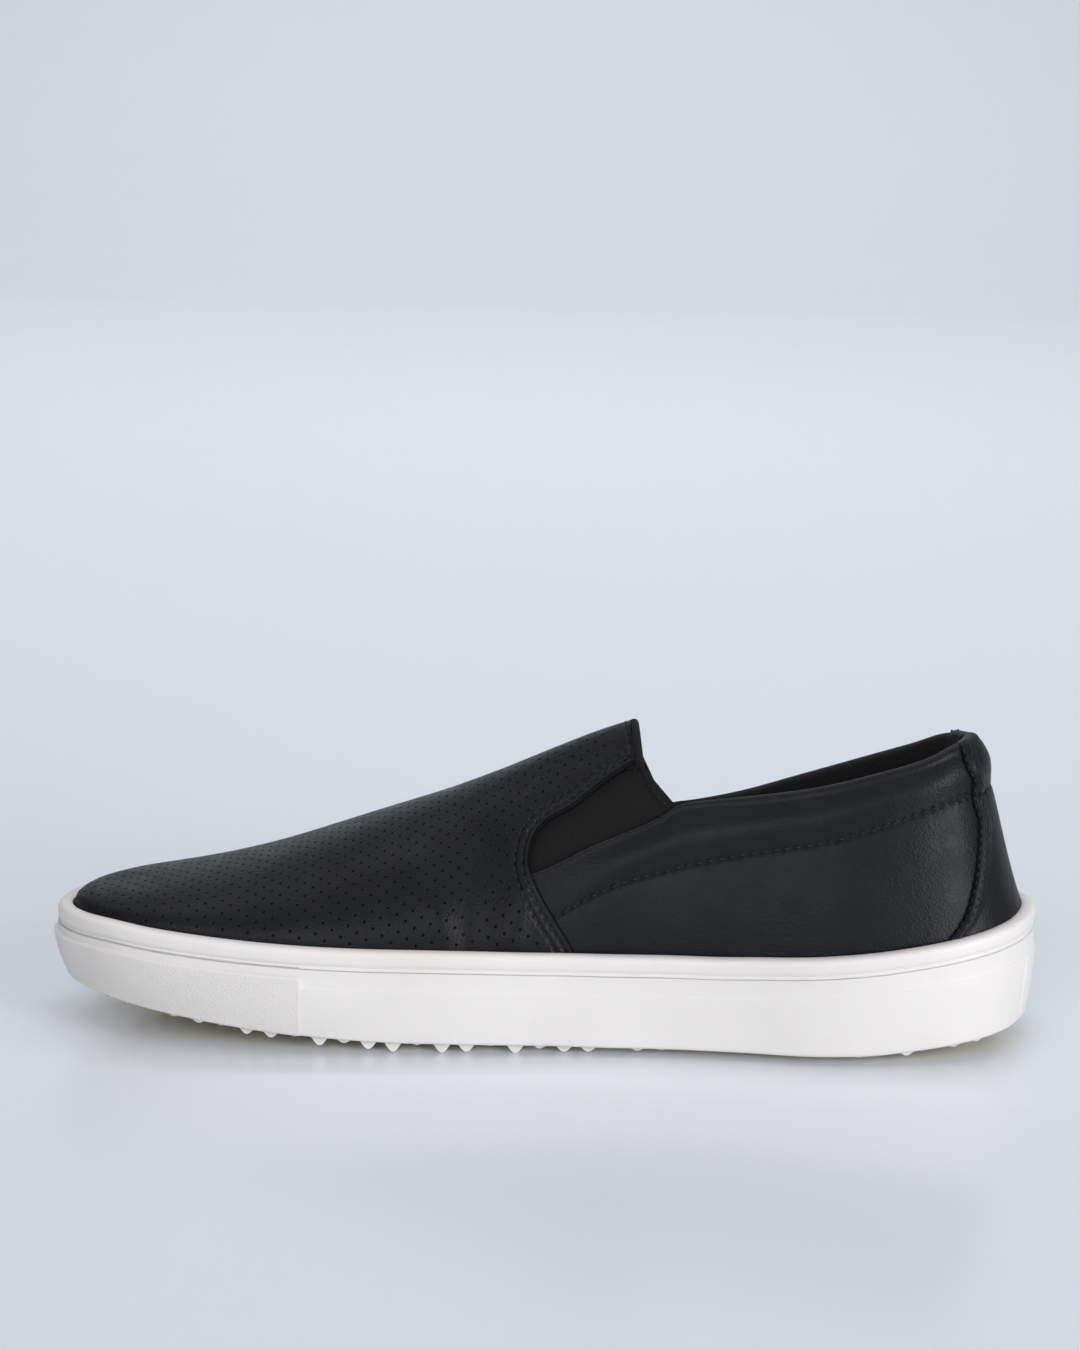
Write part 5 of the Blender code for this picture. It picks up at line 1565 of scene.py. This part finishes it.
def smooth_shading(mesh, normals, smooth_part, surface_faces):
    """Shading that follows the smooth leather away from the stitched border."""
    field = np.array([n.vector[:] for n in mesh.vertex_normals])
    count = len(normals)
    sign = np.sign((normals * field[:count]).sum(axis=1).mean())
    field[:count][smooth_part] = sign * normals[smooth_part]
    custom = np.array([corner.vector[:] for corner in mesh.corner_normals])
    vertex = np.zeros(len(mesh.loops), int)
    mesh.loops.foreach_get("vertex_index", vertex)
    owner = np.repeat(np.arange(len(mesh.polygons)), [p.loop_total for p in mesh.polygons])
    surface = owner < surface_faces
    custom[surface] = field[vertex[surface]]
    mesh.normals_split_custom_set(custom.tolist())


def sew_vamp(chart, pattern):
    """Two rows of stitches beside each side border and one along the throat's end."""
    runs = []
    sewn = [(line, offset) for line in pattern.sides for offset in STITCH_ROWS]
    sewn.append((pattern.throat, THROAT_ROW))
    for border, offset in sewn:
        line = resample(border + inward(border, pattern.outline) * offset, 0.4 * MM)
        at, up = chart.lift(line)
        keep = distance_to(border, line)[0] > offset - 0.1 * MM
        keep &= at[:, 2] > rim_height(along_of(at[:, 0])) + 0.3 * MM
        keep &= inside_polygon(pattern.outline, line)
        if border is pattern.throat:
            keep &= nearest(pattern.sides, line)[0] > 0.9 * MM
        else:
            keep &= distance_to(pattern.throat, line)[0] > 0.5 * MM
        at = at + up * pattern.relief(line)[:, None]
        runs += [(at[part], up[part], *VAMP_STITCH) for part in split_runs(keep) if len(part) > 12]
    stitches("stitches_vamp", runs, THREAD)


# Rows of the folded edge: share of FOLD_ROUND outward and share of the fold's depth down
FOLD_ROUND = 0.45 * MM
FOLD_ROWS = ((0.75, 0.12), (1.0, 0.40), (1.0, 0.65), (0.70, 0.92), (0.0, 1.0), (-3.0, 1.0))


def split_runs(keep):
    """Index ranges where a mask is true."""
    found, start = [], None
    for index, good in enumerate(keep):
        if good and start is None:
            start = index
        if not good and start is not None:
            found.append(np.arange(start, index))
            start = None
    if start is not None:
        found.append(np.arange(start, len(keep)))
    return found


# Quarters, padded collar and heel strip share one set of sections round the heel

WALL_START = 0.448          # along the shoe, under the vamp
WALL_COLUMNS = 210
WALL_LEVELS = 320
SEAM_PITCH, SEAM_SIZE = 3.3 * MM, 2.2 * MM
COLLAR_ROLL = 0.96          # the roll's radius, as a share of half the collar's thickness
LEATHER_THICKNESS = 1.1 * MM
PAD_FOOT = -0.30            # the padding ends this far below the seam, as a share of the band's height
QUARTER_ROWS = 34
BAND_ROWS = 22
PAD_ROWS = 20


def read_rows(grid, at):
    """Points of each column's section at fractional rows."""
    low = np.clip(at.astype(int), 0, grid.shape[1] - 2)
    part = (at - low)[..., None]
    column = np.arange(len(grid))[:, None]
    return grid[column, low] * (1 - part) + grid[column, low + 1] * part


def row_where(values, target):
    """Fractional row of each column where rising values pass a target."""
    above = values >= target[:, None]
    index = np.clip(np.argmax(above, axis=1), 1, values.shape[1] - 1)
    column = np.arange(len(values))
    low, high = values[column, index - 1], values[column, index]
    return index - 1 + np.clip((target - low) / np.maximum(high - low, 1e-9), 0, 1)


class Wall:
    """Sections of the upper behind the vamp, from the medial front round the heel to the lateral front."""

    def __init__(self):
        levels = np.linspace(FOOT_LEVEL, 0.99, WALL_LEVELS)
        found = {}
        for side in ("medial", "lateral"):
            share, line = SIDES[side]
            start = float(np.interp(x_of(WALL_START), line[:, 0], share))
            turns = np.linspace(start, 1.0, WALL_COLUMNS)
            outer = skin(side, turns[:, None], levels[None, :], LEATHER_LAP)
            inner = skin(side, turns[:, None], levels[None, :], 0.0, True)
            top, seam = collar_lines(side, along_of(outer[:, :, 0]))
            found[side] = [outer, inner, top, seam]
        self.outer, self.inner, top, seam = (
            np.concatenate((found["medial"][k], found["lateral"][k][-2::-1])) for k in range(4))
        self.side = np.concatenate((-np.ones(WALL_COLUMNS), np.ones(WALL_COLUMNS - 1)))
        z = self.outer[:, :, 2]
        zero = np.zeros(len(z))
        self.seam_row = row_where(z - seam, zero)
        top_row = row_where(z - top, zero)
        edge_out, edge_in = (read_rows(grid, top_row[:, None])[:, 0] for grid in (self.outer, self.inner))
        self.radius = 0.5 * COLLAR_ROLL * np.linalg.norm(edge_out - edge_in, axis=1)
        self.roll_row = row_where(z - (top - self.radius[:, None]), zero)
        foot = seam + PAD_FOOT * (top - seam)
        self.pad_row = row_where(self.inner[:, :, 2] - foot, zero)
        roll_start = read_rows(self.outer, self.roll_row[:, None])[:, :, 2]
        self.inner_roll = row_where(self.inner[:, :, 2] - roll_start, zero)
        self.seam_points = read_rows(self.outer, self.seam_row[:, None])[:, 0]
        self.seam_reach = lengths(self.seam_points)

    def seam_relief(self, points):
        """Depth of the trough along the stitched seam, with a pit at each needle hole."""
        gap = np.linalg.norm(points - self.seam_points[:, None], axis=2)
        pit = needle_pits(self.seam_reach, SEAM_PITCH)
        shape = np.exp(-(gap / (0.75 * MM)) ** 2)
        wide = np.exp(-(gap / (2.6 * MM)) ** 2)
        pucker = 0.02 * MM * np.cos(2 * math.pi * self.seam_reach / SEAM_PITCH)[:, None]
        return -(shape * (0.20 * MM + 0.50 * MM * pit[:, None]) + wide * (0.16 * MM + pucker))

    def sewn(self, rows):
        """Points of the outer side at these rows, pulled in along the seam, and the normals there."""
        grid = read_rows(self.outer, rows)
        normals = grid_normals(grid)
        if (normals[:, :, 1] * self.side[:, None]).mean() < 0:
            normals = -normals
        return grid + normals * self.seam_relief(grid)[..., None], normals

    def sections(self):
        """Grids of the quarter below the seam, with its normals, and of the collar's closed section."""
        low = 1 - (1 - np.linspace(0, 1, QUARTER_ROWS)) ** 1.6
        quarter, normals = self.sewn(self.seam_row[:, None] * low[None, :])
        rise = np.linspace(0, 1, BAND_ROWS) ** 1.25
        band, _ = self.sewn(self.seam_row[:, None] + (self.roll_row - self.seam_row)[:, None] * rise[None, :])
        start, end = band[:, -1], read_rows(self.inner, self.inner_roll[:, None])[:, 0]
        middle, half = 0.5 * (start + end), 0.5 * (start - end)
        up = unit(band[:, -1] - band[:, -3])
        up = unit(up - (up * unit(half)).sum(axis=1, keepdims=True) * unit(half))
        angles = np.radians(np.linspace(0, 180, ROLL_STEPS + 2))[1:-1]
        roll = (middle[:, None] + half[:, None] * np.cos(angles)[None, :, None]
                + (up * self.radius[:, None])[:, None] * np.sin(angles)[None, :, None])
        down = np.linspace(0, 1, PAD_ROWS)
        inner_rows = self.inner_roll[:, None] + (self.pad_row - self.inner_roll)[:, None] * down[None, :]
        lining = read_rows(self.inner, inner_rows)
        return quarter, normals, np.concatenate((band, roll, lining), axis=1)


ROLL_STEPS = 17
COLLAR_LEATHER = 0.24       # share of the roll that the leather covers, from outside
TUCK_DEPTH = 1.2 * MM


def make_quarters(wall):
    """The quarters' leather, the padded collar and the stitches between them."""
    quarter, normals, collar = wall.sections()
    tuck = quarter[:, -1:] + (quarter[:, -1:] - quarter[:, -3:-2]) * 1.2 - normals[:, -1:] * TUCK_DEPTH
    outer = np.concatenate((quarter, tuck), axis=1)
    inner = outer - np.concatenate((normals, normals[:, -1:]), axis=1) * LEATHER_THICKNESS
    points, faces = sheet_mesh(outer, inner)
    made = piece("quarter_leather", points, faces, LEATHER, ["upper"])
    outward_faces(made)

    columns, rows = collar.shape[:2]
    faces = grid_faces(columns, rows, closed_columns=True)
    leather_rows = BAND_ROWS + int(COLLAR_LEATHER * ROLL_STEPS)
    kinds = [0 if index % rows < leather_rows else 1 for index in range(len(faces))]
    faces.append(tuple(range(rows)))
    faces.append(tuple(range((columns - 1) * rows, columns * rows))[::-1])
    kinds += [0, 0]
    pad = piece("collar_padding", collar.reshape(-1, 3), faces, [LEATHER, LINING], ["upper"],
                kinds)
    outward_faces(pad)

    line = wall.seam_points
    seam_normals = normals[:, -1]
    runs = []
    strip_start = x_of(STRIP_EDGE["along"].min() + 0.02)
    for side in (-1, 1):
        chosen = (wall.side == side) & (line[:, 0] < strip_start)
        seam = seam_line("medial" if side < 0 else "lateral")
        chosen &= line[:, 0] > np.interp(line[:, 2], seam[:, 1], seam[:, 0]) + 1.5 * MM
        points = line[chosen] - seam_normals[chosen] * 0.42 * MM
        points, up = resample(points, 0.5 * MM, seam_normals[chosen])
        runs.append((points, unit(up), SEAM_PITCH, SEAM_SIZE, 0.26 * MM, 0.22 * MM))
    stitches("stitches_quarter", runs, THREAD)
    return quarter, collar


STRIP_ACROSS = 61
STRIP_OVER = 1.45 * MM      # its face over the quarters' leather
STRIP_ROUND = 0.9 * MM
STRIP_SUNK = 3.5 * MM       # it runs this far down into the cup
STRIP_BAND = 4.8 * MM       # width of the raised border
STRIP_ROWS = (1.1 * MM, 3.7 * MM)  # stitches, from its edge
STRIP_LINES = 78
STRIP_SKIPS = 2             # rows of the collar next to the seam that it bridges
HEEL_STITCH = (2.6 * MM, 1.9 * MM, 0.28 * MM, 0.20 * MM)
GORE_STITCH = (2.4 * MM, 1.7 * MM, 0.17 * MM, 0.12 * MM)


def make_heel_strip(quarter, collar):
    """The strip over the back seam, with its edges turned under, from the rim over the collar's top."""
    collar_rows = collar[:, STRIP_SKIPS:BAND_ROWS + ROLL_STEPS - 1]
    grid = np.concatenate((quarter, collar_rows), axis=1)
    heel, quarter_rows = WALL_COLUMNS - 1, quarter.shape[1]
    line = grid[heel]
    reach = lengths(line)
    start = float(np.interp(rim_height(1.0) - STRIP_SUNK, line[:quarter_rows, 2], reach[:quarter_rows]))
    rows = np.interp(np.linspace(start, reach[-1], STRIP_LINES), reach, np.arange(len(reach)))
    even = read_rows(grid, np.broadcast_to(rows[None, :], (len(grid), len(rows))).copy())
    low_edge = rim_height(STRIP_EDGE["along"]) + STRIP_FOOT
    edge_z = low_edge + STRIP_EDGE["height"] * (COLLAR_HEIGHT - low_edge)
    edge = bent_fine(np.column_stack((x_of(STRIP_EDGE["along"]), edge_z)))
    crest = int(np.argmax(even[heel, :, 2]))
    share = np.linspace(-1, 1, STRIP_ACROSS)
    share = np.sign(share) * (1 - (1 - np.abs(share)) ** 1.35)
    strips = []
    for row in range(even.shape[1]):
        x = even[:, row, 0]
        want = float(np.interp(even[heel, min(row, crest), 2], edge[:, 1], edge[:, 0]))
        medial = float(np.interp(want, x[:heel + 1], np.arange(heel + 1)))
        back = x[heel:][::-1]
        lateral = len(x) - 1 - float(np.interp(want, back, np.arange(len(back))))
        column = np.where(share < 0, heel + share * (heel - medial), heel + share * (lateral - heel))
        columns = np.arange(len(x))
        strips.append(np.column_stack([np.interp(column, columns, even[:, row, k]) for k in range(3)]))
    base = np.array(strips)
    normals = grid_normals(base)
    if normals[:, :, 0].mean() < 0:
        normals = -normals
    across = np.array([lengths(row) for row in base])
    gap = np.minimum(across, across[:, -1:] - across)
    rise = np.sqrt(np.clip(1 - (1 - np.clip(gap / STRIP_ROUND, 0, 1)) ** 2, 0, 1))
    dip = sum(0.30 * MM * np.exp(-((gap - row) / (0.45 * MM)) ** 2) for row in STRIP_ROWS)
    border = 0.55 * MM * ease((STRIP_BAND - gap) / (0.9 * MM))
    crest = int(np.argmax(base[:, STRIP_ACROSS // 2, 2]))
    thin = 1 - 0.92 * ease((np.arange(len(base)) - crest + 6) / 8.0)[:, None]
    lift = (STRIP_OVER + border) * rise * thin - dip * thin - 0.2 * MM * (1 - rise)
    outer = base + normals * lift[..., None]
    inner = base - normals * 0.25 * MM
    points, faces = sheet_mesh(outer, inner)
    made = piece("heel_strip_leather", points, faces, LEATHER, ["heel_strip"])
    outward_faces(made)
    runs = []
    for end, offset in ((end, offset) for end in (0, -1) for offset in STRIP_ROWS):
        line, ups = [], []
        for row in range(4, crest + 1):
            reach = lengths(outer[row])
            want = offset if end == 0 else reach[-1] - offset
            line.append([np.interp(want, reach, outer[row, :, k]) for k in range(3)])
            ups.append([np.interp(want, reach, normals[row, :, k]) for k in range(3)])
        line, ups = resample(np.array(line), 0.5 * MM, np.array(ups))
        runs.append((line, unit(ups), *HEEL_STITCH))
    stitches("stitches_heel", runs, THREAD)
    return made


# Gores, their hems and the binding of the throat

GORE_ROWS = 70
GORE_COLUMNS = 46
HEM = 3.2 * MM              # folded hem along the free edge
HEM_RISE = 0.45 * MM
TUCK_SHARE = 0.8            # share of the solid gore's tucked margins that the cloth has


def make_gore(side):
    """One elastic panel with its folded hem, laid inside the upper's wall."""
    edge = bent_fine(np.array(vamp_edge(side)))
    collar = bent_fine(np.array(collar_edge(side)[:GORE_END_ROW * EDGE_STEPS + 1]))
    corner = np.array(((throat_x(CORNER_HEIGHT), CORNER_HEIGHT + 0.6 * MM),))
    front = edge[edge[:, 0] < throat_x(CORNER_HEIGHT) - BINDING_WIDTH]
    under_vamp = np.array(beside_line(front.tolist(), GORE_TUCK * TUCK_SHARE))
    under_quarter = np.array(beside_line(collar.tolist(), -GORE_TUCK_HEIGHT * TUCK_SHARE))
    share = np.linspace(0, 1, GORE_ROWS) ** 1.15
    first, second = (
        np.column_stack([np.interp(share, lengths(line) / lengths(line)[-1], values) for values in line.T])
        for line in (np.vstack((corner, under_vamp[::-1])), np.vstack((collar[-1:], under_quarter[::-1]))))
    across = np.linspace(0, 1, GORE_COLUMNS)[None, :, None]
    view = first[:, None] * (1 - across) + second[:, None] * across
    places = locate(side, view[..., 0].ravel(), view[..., 1].ravel())
    turn, level = (values.reshape(view.shape[:2]) for values in places)
    distance = np.linalg.norm(view - view[0:1], axis=2)
    rise = HEM_RISE * ease((HEM - distance) / (0.5 * MM)) * ease((distance + 0.1 * MM) / (0.5 * MM))
    base = skin(side, turn, level, CLEARANCE, True)
    back = skin(side, turn, level, CLEARANCE + GORE_THICKNESS, True)
    normal = unit(base - back)
    outer = base + normal * rise[..., None]
    inner = back - normal * (0.3 * rise)[..., None]
    points, faces = sheet_mesh(outer, inner)
    made = piece("gore_cloth_" + side, points, faces, ELASTIC, ["gore_" + side])
    outward_faces(made)
    row = int(np.argmin(np.abs(distance[:, GORE_COLUMNS // 2] - HEM * 0.82)))
    runs = [(outer[row, 4:-8], normal[row, 4:-8], *GORE_STITCH)]
    stitches("stitches_gore_" + side, runs, THREAD)
    return made


# Section of the binding: share of its width from the vamp's end, height over the skin in mm, inside or not
BINDING_ROWS = (
    (1.00, -1.25, False), (0.75, -1.20, False), (0.50, -1.15, False), (0.44, -0.80, False),
    (0.38, -0.20, False), (0.30, 0.02, False), (0.18, 0.08, False), (0.06, -0.02, False),
    (-0.02, -0.30, False), (-0.08, -0.75, False), (-0.10, -1.30, False),
    (-0.08, 0.55, True), (-0.02, -0.10, True), (0.08, -0.45, True), (0.30, -0.62, True),
    (0.70, -0.60, True), (0.97, -0.45, True), (1.05, 0.10, True),
)


def make_binding():
    """The tape folded over the end of the vamp."""
    columns = {}
    for side in ("medial", "lateral"):
        corner_x = throat_x(CORNER_HEIGHT) - BINDING_WIDTH
        _, level = locate(side, np.array((corner_x,)), np.array((CORNER_HEIGHT - 0.4 * MM,)))
        levels = np.linspace(float(level[0]) - 0.006, 1.0, 40)
        rows = []
        for share, lift, inside in BINDING_ROWS:
            turn = turn_where(
                side, levels, lambda p, s=share: p[:, 0] - (throat_x(p[:, 2]) - BINDING_WIDTH * s))
            rows.append(skin(side, turn, levels, -lift * MM, inside))
        columns[side] = np.array(rows)
    grid = np.concatenate((columns["medial"], columns["lateral"][:, -2::-1]), axis=1)
    rows, count = grid.shape[:2]
    faces = grid_faces(rows, count, closed_rows=True)
    faces.append(tuple(k * count for k in range(rows)))
    faces.append(tuple(k * count + count - 1 for k in range(rows))[::-1])
    made = piece("throat_binding_tape", grid.reshape(-1, 3), faces, TAPE, ["throat_binding"])
    outward_faces(made)
    return made


# The lining of vamp and quarters

LINING_COLUMNS = 110
LINING_LEVELS = 46
LINING_DROP = 3.0 * MM      # below the collar's edge
LINING_THICKNESS = 1.15 * MM


def prism(shapes):
    """Points and faces of a cutter with one side view on each side."""
    count = len(shapes[0])
    far = 0.12
    layers = ((-far, shapes[0]), (VIEW_SPLIT[0], shapes[0]), (VIEW_SPLIT[1], shapes[1]), (far, shapes[1]))
    points = [(x, y, z) for y, shape in layers for x, z in shape]
    faces = grid_faces(len(layers), count, closed_columns=True)
    faces += [tuple(range(count)), tuple(range(count * 4 - 1, count * 3 - 1, -1))]
    return points, faces


def make_lining():
    """The cloth inside the upper, cut a little below the collar's edge."""
    turns = np.linspace(0, 1, LINING_COLUMNS + 1)
    turns = turns - 0.4 * np.sin(2 * math.pi * turns) / (2 * math.pi)
    levels = np.linspace(-0.93, 1, LINING_LEVELS)
    skins = []
    for depth in (UPPER_WALL - LINING_THICKNESS, UPPER_WALL - 0.05 * MM):
        medial = skin("medial", turns[:, None], levels[None, :], depth)
        lateral = skin("lateral", turns[:, None], levels[None, :], depth)
        tip = 0.5 * (medial[2] + lateral[2])            # the last's own points fold over at the toe's tip
        for half in (medial, lateral):
            half[1] = 0.5 * (half[2] + tip)
            half[0] = tip
        skins.append((medial, lateral))
    points, faces, starts, count = [], [], [], 0
    size = 2 * LINING_COLUMNS
    for medial, lateral in skins:
        loops = [np.vstack((medial[:, k], lateral[-2:0:-1, k])) for k in range(LINING_LEVELS - 1)]
        crown = medial[:, -1]
        starts.append(count)
        faces += grid_faces(len(loops), size, count, closed_columns=True)
        top = count + (len(loops) - 1) * size
        first_crown = count + len(loops) * size
        for k in range(LINING_COLUMNS):
            faces.append((top + k, top + k + 1, first_crown + k + 1, first_crown + k))
            faces.append((top + (size - k) % size, top + size - k - 1, first_crown + k + 1, first_crown + k))
        points += loops + [crown]
        count += len(loops) * size + len(crown)
    for k in range(size):
        m = (k + 1) % size
        faces.append((starts[0] + k, starts[0] + m, starts[1] + m, starts[1] + k))
    points = np.vstack(points)
    shapes = []
    for side in ("medial", "lateral"):
        shape = opening_shape(side)
        edge_count = len([p for p in vamp_edge(side) if p[0] < throat_x(CORNER_HEIGHT) - BINDING_WIDTH])
        lowered = [(x, z) if index < 2 + edge_count else (x, z - LINING_DROP if z < SKY - 0.01 else z)
                   for index, (x, z) in enumerate(shape)]
        shapes.append(lowered)
    meshes = []
    for name, (some_points, some_faces) in (("lining_whole", (points, faces)), ("lining_cut", prism(shapes))):
        mesh = bpy.data.meshes.new(name)
        mesh.from_pydata([tuple(p) for p in some_points], [], some_faces)
        held = bpy.data.objects.new(name, mesh)
        outward_faces(held)
        bpy.context.scene.collection.objects.link(held)
        meshes.append(held)
    whole, cutter = meshes
    change = whole.modifiers.new("cut", "BOOLEAN")
    change.object, change.operation, change.solver = cutter, "DIFFERENCE", "EXACT"
    graph = bpy.context.evaluated_depsgraph_get()
    result = bpy.data.meshes.new_from_object(whole.evaluated_get(graph))
    points = np.array([v.co[:] for v in result.vertices])
    faces = [tuple(p.vertices) for p in result.polygons]
    for held in meshes:
        bpy.data.objects.remove(held, do_unlink=True)
    made = piece("textile_lining", points, faces, LINING, ["upper"])
    made.data.set_sharp_from_angle(angle=math.radians(40))
    return made


# Floor, light and camera

FLOOR_HALF_WIDTH = 6.0
FLOOR_FRONT = -4.0
FLOOR_BACK = 2.6            # here the floor starts to curve up
FLOOR_BEND = 1.6            # radius of the curve
FLOOR_TOP = 6.0


def make_stage():
    """A pale floor that curves up far behind the shoe."""
    across = np.linspace(-FLOOR_HALF_WIDTH, FLOOR_HALF_WIDTH, 25)
    profile = [(FLOOR_FRONT, 0.0)] + [(y, 0.0) for y in np.linspace(0.5 * FLOOR_FRONT, FLOOR_BACK, 12)]
    for angle in np.radians(range(6, 91, 6)):
        profile.append((FLOOR_BACK + FLOOR_BEND * math.sin(angle), FLOOR_BEND * (1 - math.cos(angle))))
    profile.append((FLOOR_BACK + FLOOR_BEND, FLOOR_TOP))
    grid = np.array([[(x, y, z) for x in across] for y, z in profile])
    mesh = bpy.data.meshes.new("studio_floor")
    mesh.from_pydata(grid.reshape(-1, 3).tolist(), [], grid_faces(*grid.shape[:2]))
    mesh.shade_smooth()
    floor = bpy.data.objects.new("studio_floor", mesh)
    bpy.context.scene.collection.objects.link(floor)
    made = Nodes("studio_paint", (0.79, 0.815, 0.865), 0.24)
    made.shader.inputs["Specular IOR Level"].default_value = 0.5
    mesh.materials.append(made.material)


# Name, place, the point it faces, width and height, and power in watts
LIGHTS = (
    ("softbox_top", (0.0, -0.1, 1.7), (0.0, 0.0, 0.0), (2.0, 1.6), 7),
    ("softbox_front", (-0.5, -2.1, 1.0), (0.0, 0.0, 0.05), (1.6, 1.2), 17),
    ("softbox_right", (1.6, -1.35, 0.6), (0.08, 0.0, 0.05), (1.0, 1.1), 27),
    ("backdrop_light", (0.0, 1.0, 2.4), (0.0, 3.6, 0.8), (3.0, 1.0), 56),
)


def area_light(name, place, aim, size, power):
    """A soft rectangular light that faces a point."""
    data = bpy.data.lights.new(name, "AREA")
    data.shape = "RECTANGLE"
    data.size, data.size_y = size
    data.energy = power
    light = bpy.data.objects.new(name, data)
    light.location = place
    light.rotation_euler = (Vector(aim) - Vector(place)).to_track_quat("-Z", "Y").to_euler()
    bpy.context.scene.collection.objects.link(light)


def make_light():
    """A pale sky and the soft lights."""
    world = bpy.data.worlds.new("studio_air")
    world.use_nodes = True
    back = world.node_tree.nodes["Background"]
    back.inputs["Color"].default_value = (0.86, 0.89, 0.94, 1.0)
    back.inputs["Strength"].default_value = 0.31
    bpy.context.scene.world = world
    for light in LIGHTS:
        area_light(*light)


# The camera of the photo, fitted to the shoe's outline there
CAMERA_PLACE = (-0.0072, -0.816, 0.2867)
CAMERA_RIGHT = (0.99978, 0.0, 0.02094)
CAMERA_AHEAD = (0.00453, 0.97630, -0.21639)
CAMERA_SENSOR = 36.0
CAMERA_LENS = 72.7


def make_camera():
    """The camera at the photo's viewing angle."""
    data = bpy.data.cameras.new("photo_camera")
    data.sensor_fit = "VERTICAL"
    data.sensor_height = CAMERA_SENSOR
    data.sensor_width = CAMERA_SENSOR
    data.lens = CAMERA_LENS
    data.clip_start = 0.01
    camera = bpy.data.objects.new("photo_camera", data)
    right, ahead = Vector(CAMERA_RIGHT).normalized(), Vector(CAMERA_AHEAD).normalized()
    up = right.cross(ahead)
    turn = Matrix((right, up, -ahead)).transposed()
    camera.matrix_world = Matrix.Translation(CAMERA_PLACE) @ turn.to_4x4()
    bpy.context.scene.collection.objects.link(camera)
    bpy.context.scene.camera = camera


make_camera()
make_light()
make_stage()
make_cup()
make_tread()
make_footbed()
make_vamp(Chart())
make_heel_strip(*make_quarters(Wall()))
make_gore("medial")
make_gore("lateral")
make_binding()
make_lining()
bpy.context.scene.view_settings.view_transform = "Standard"
bpy.context.view_layer.update()
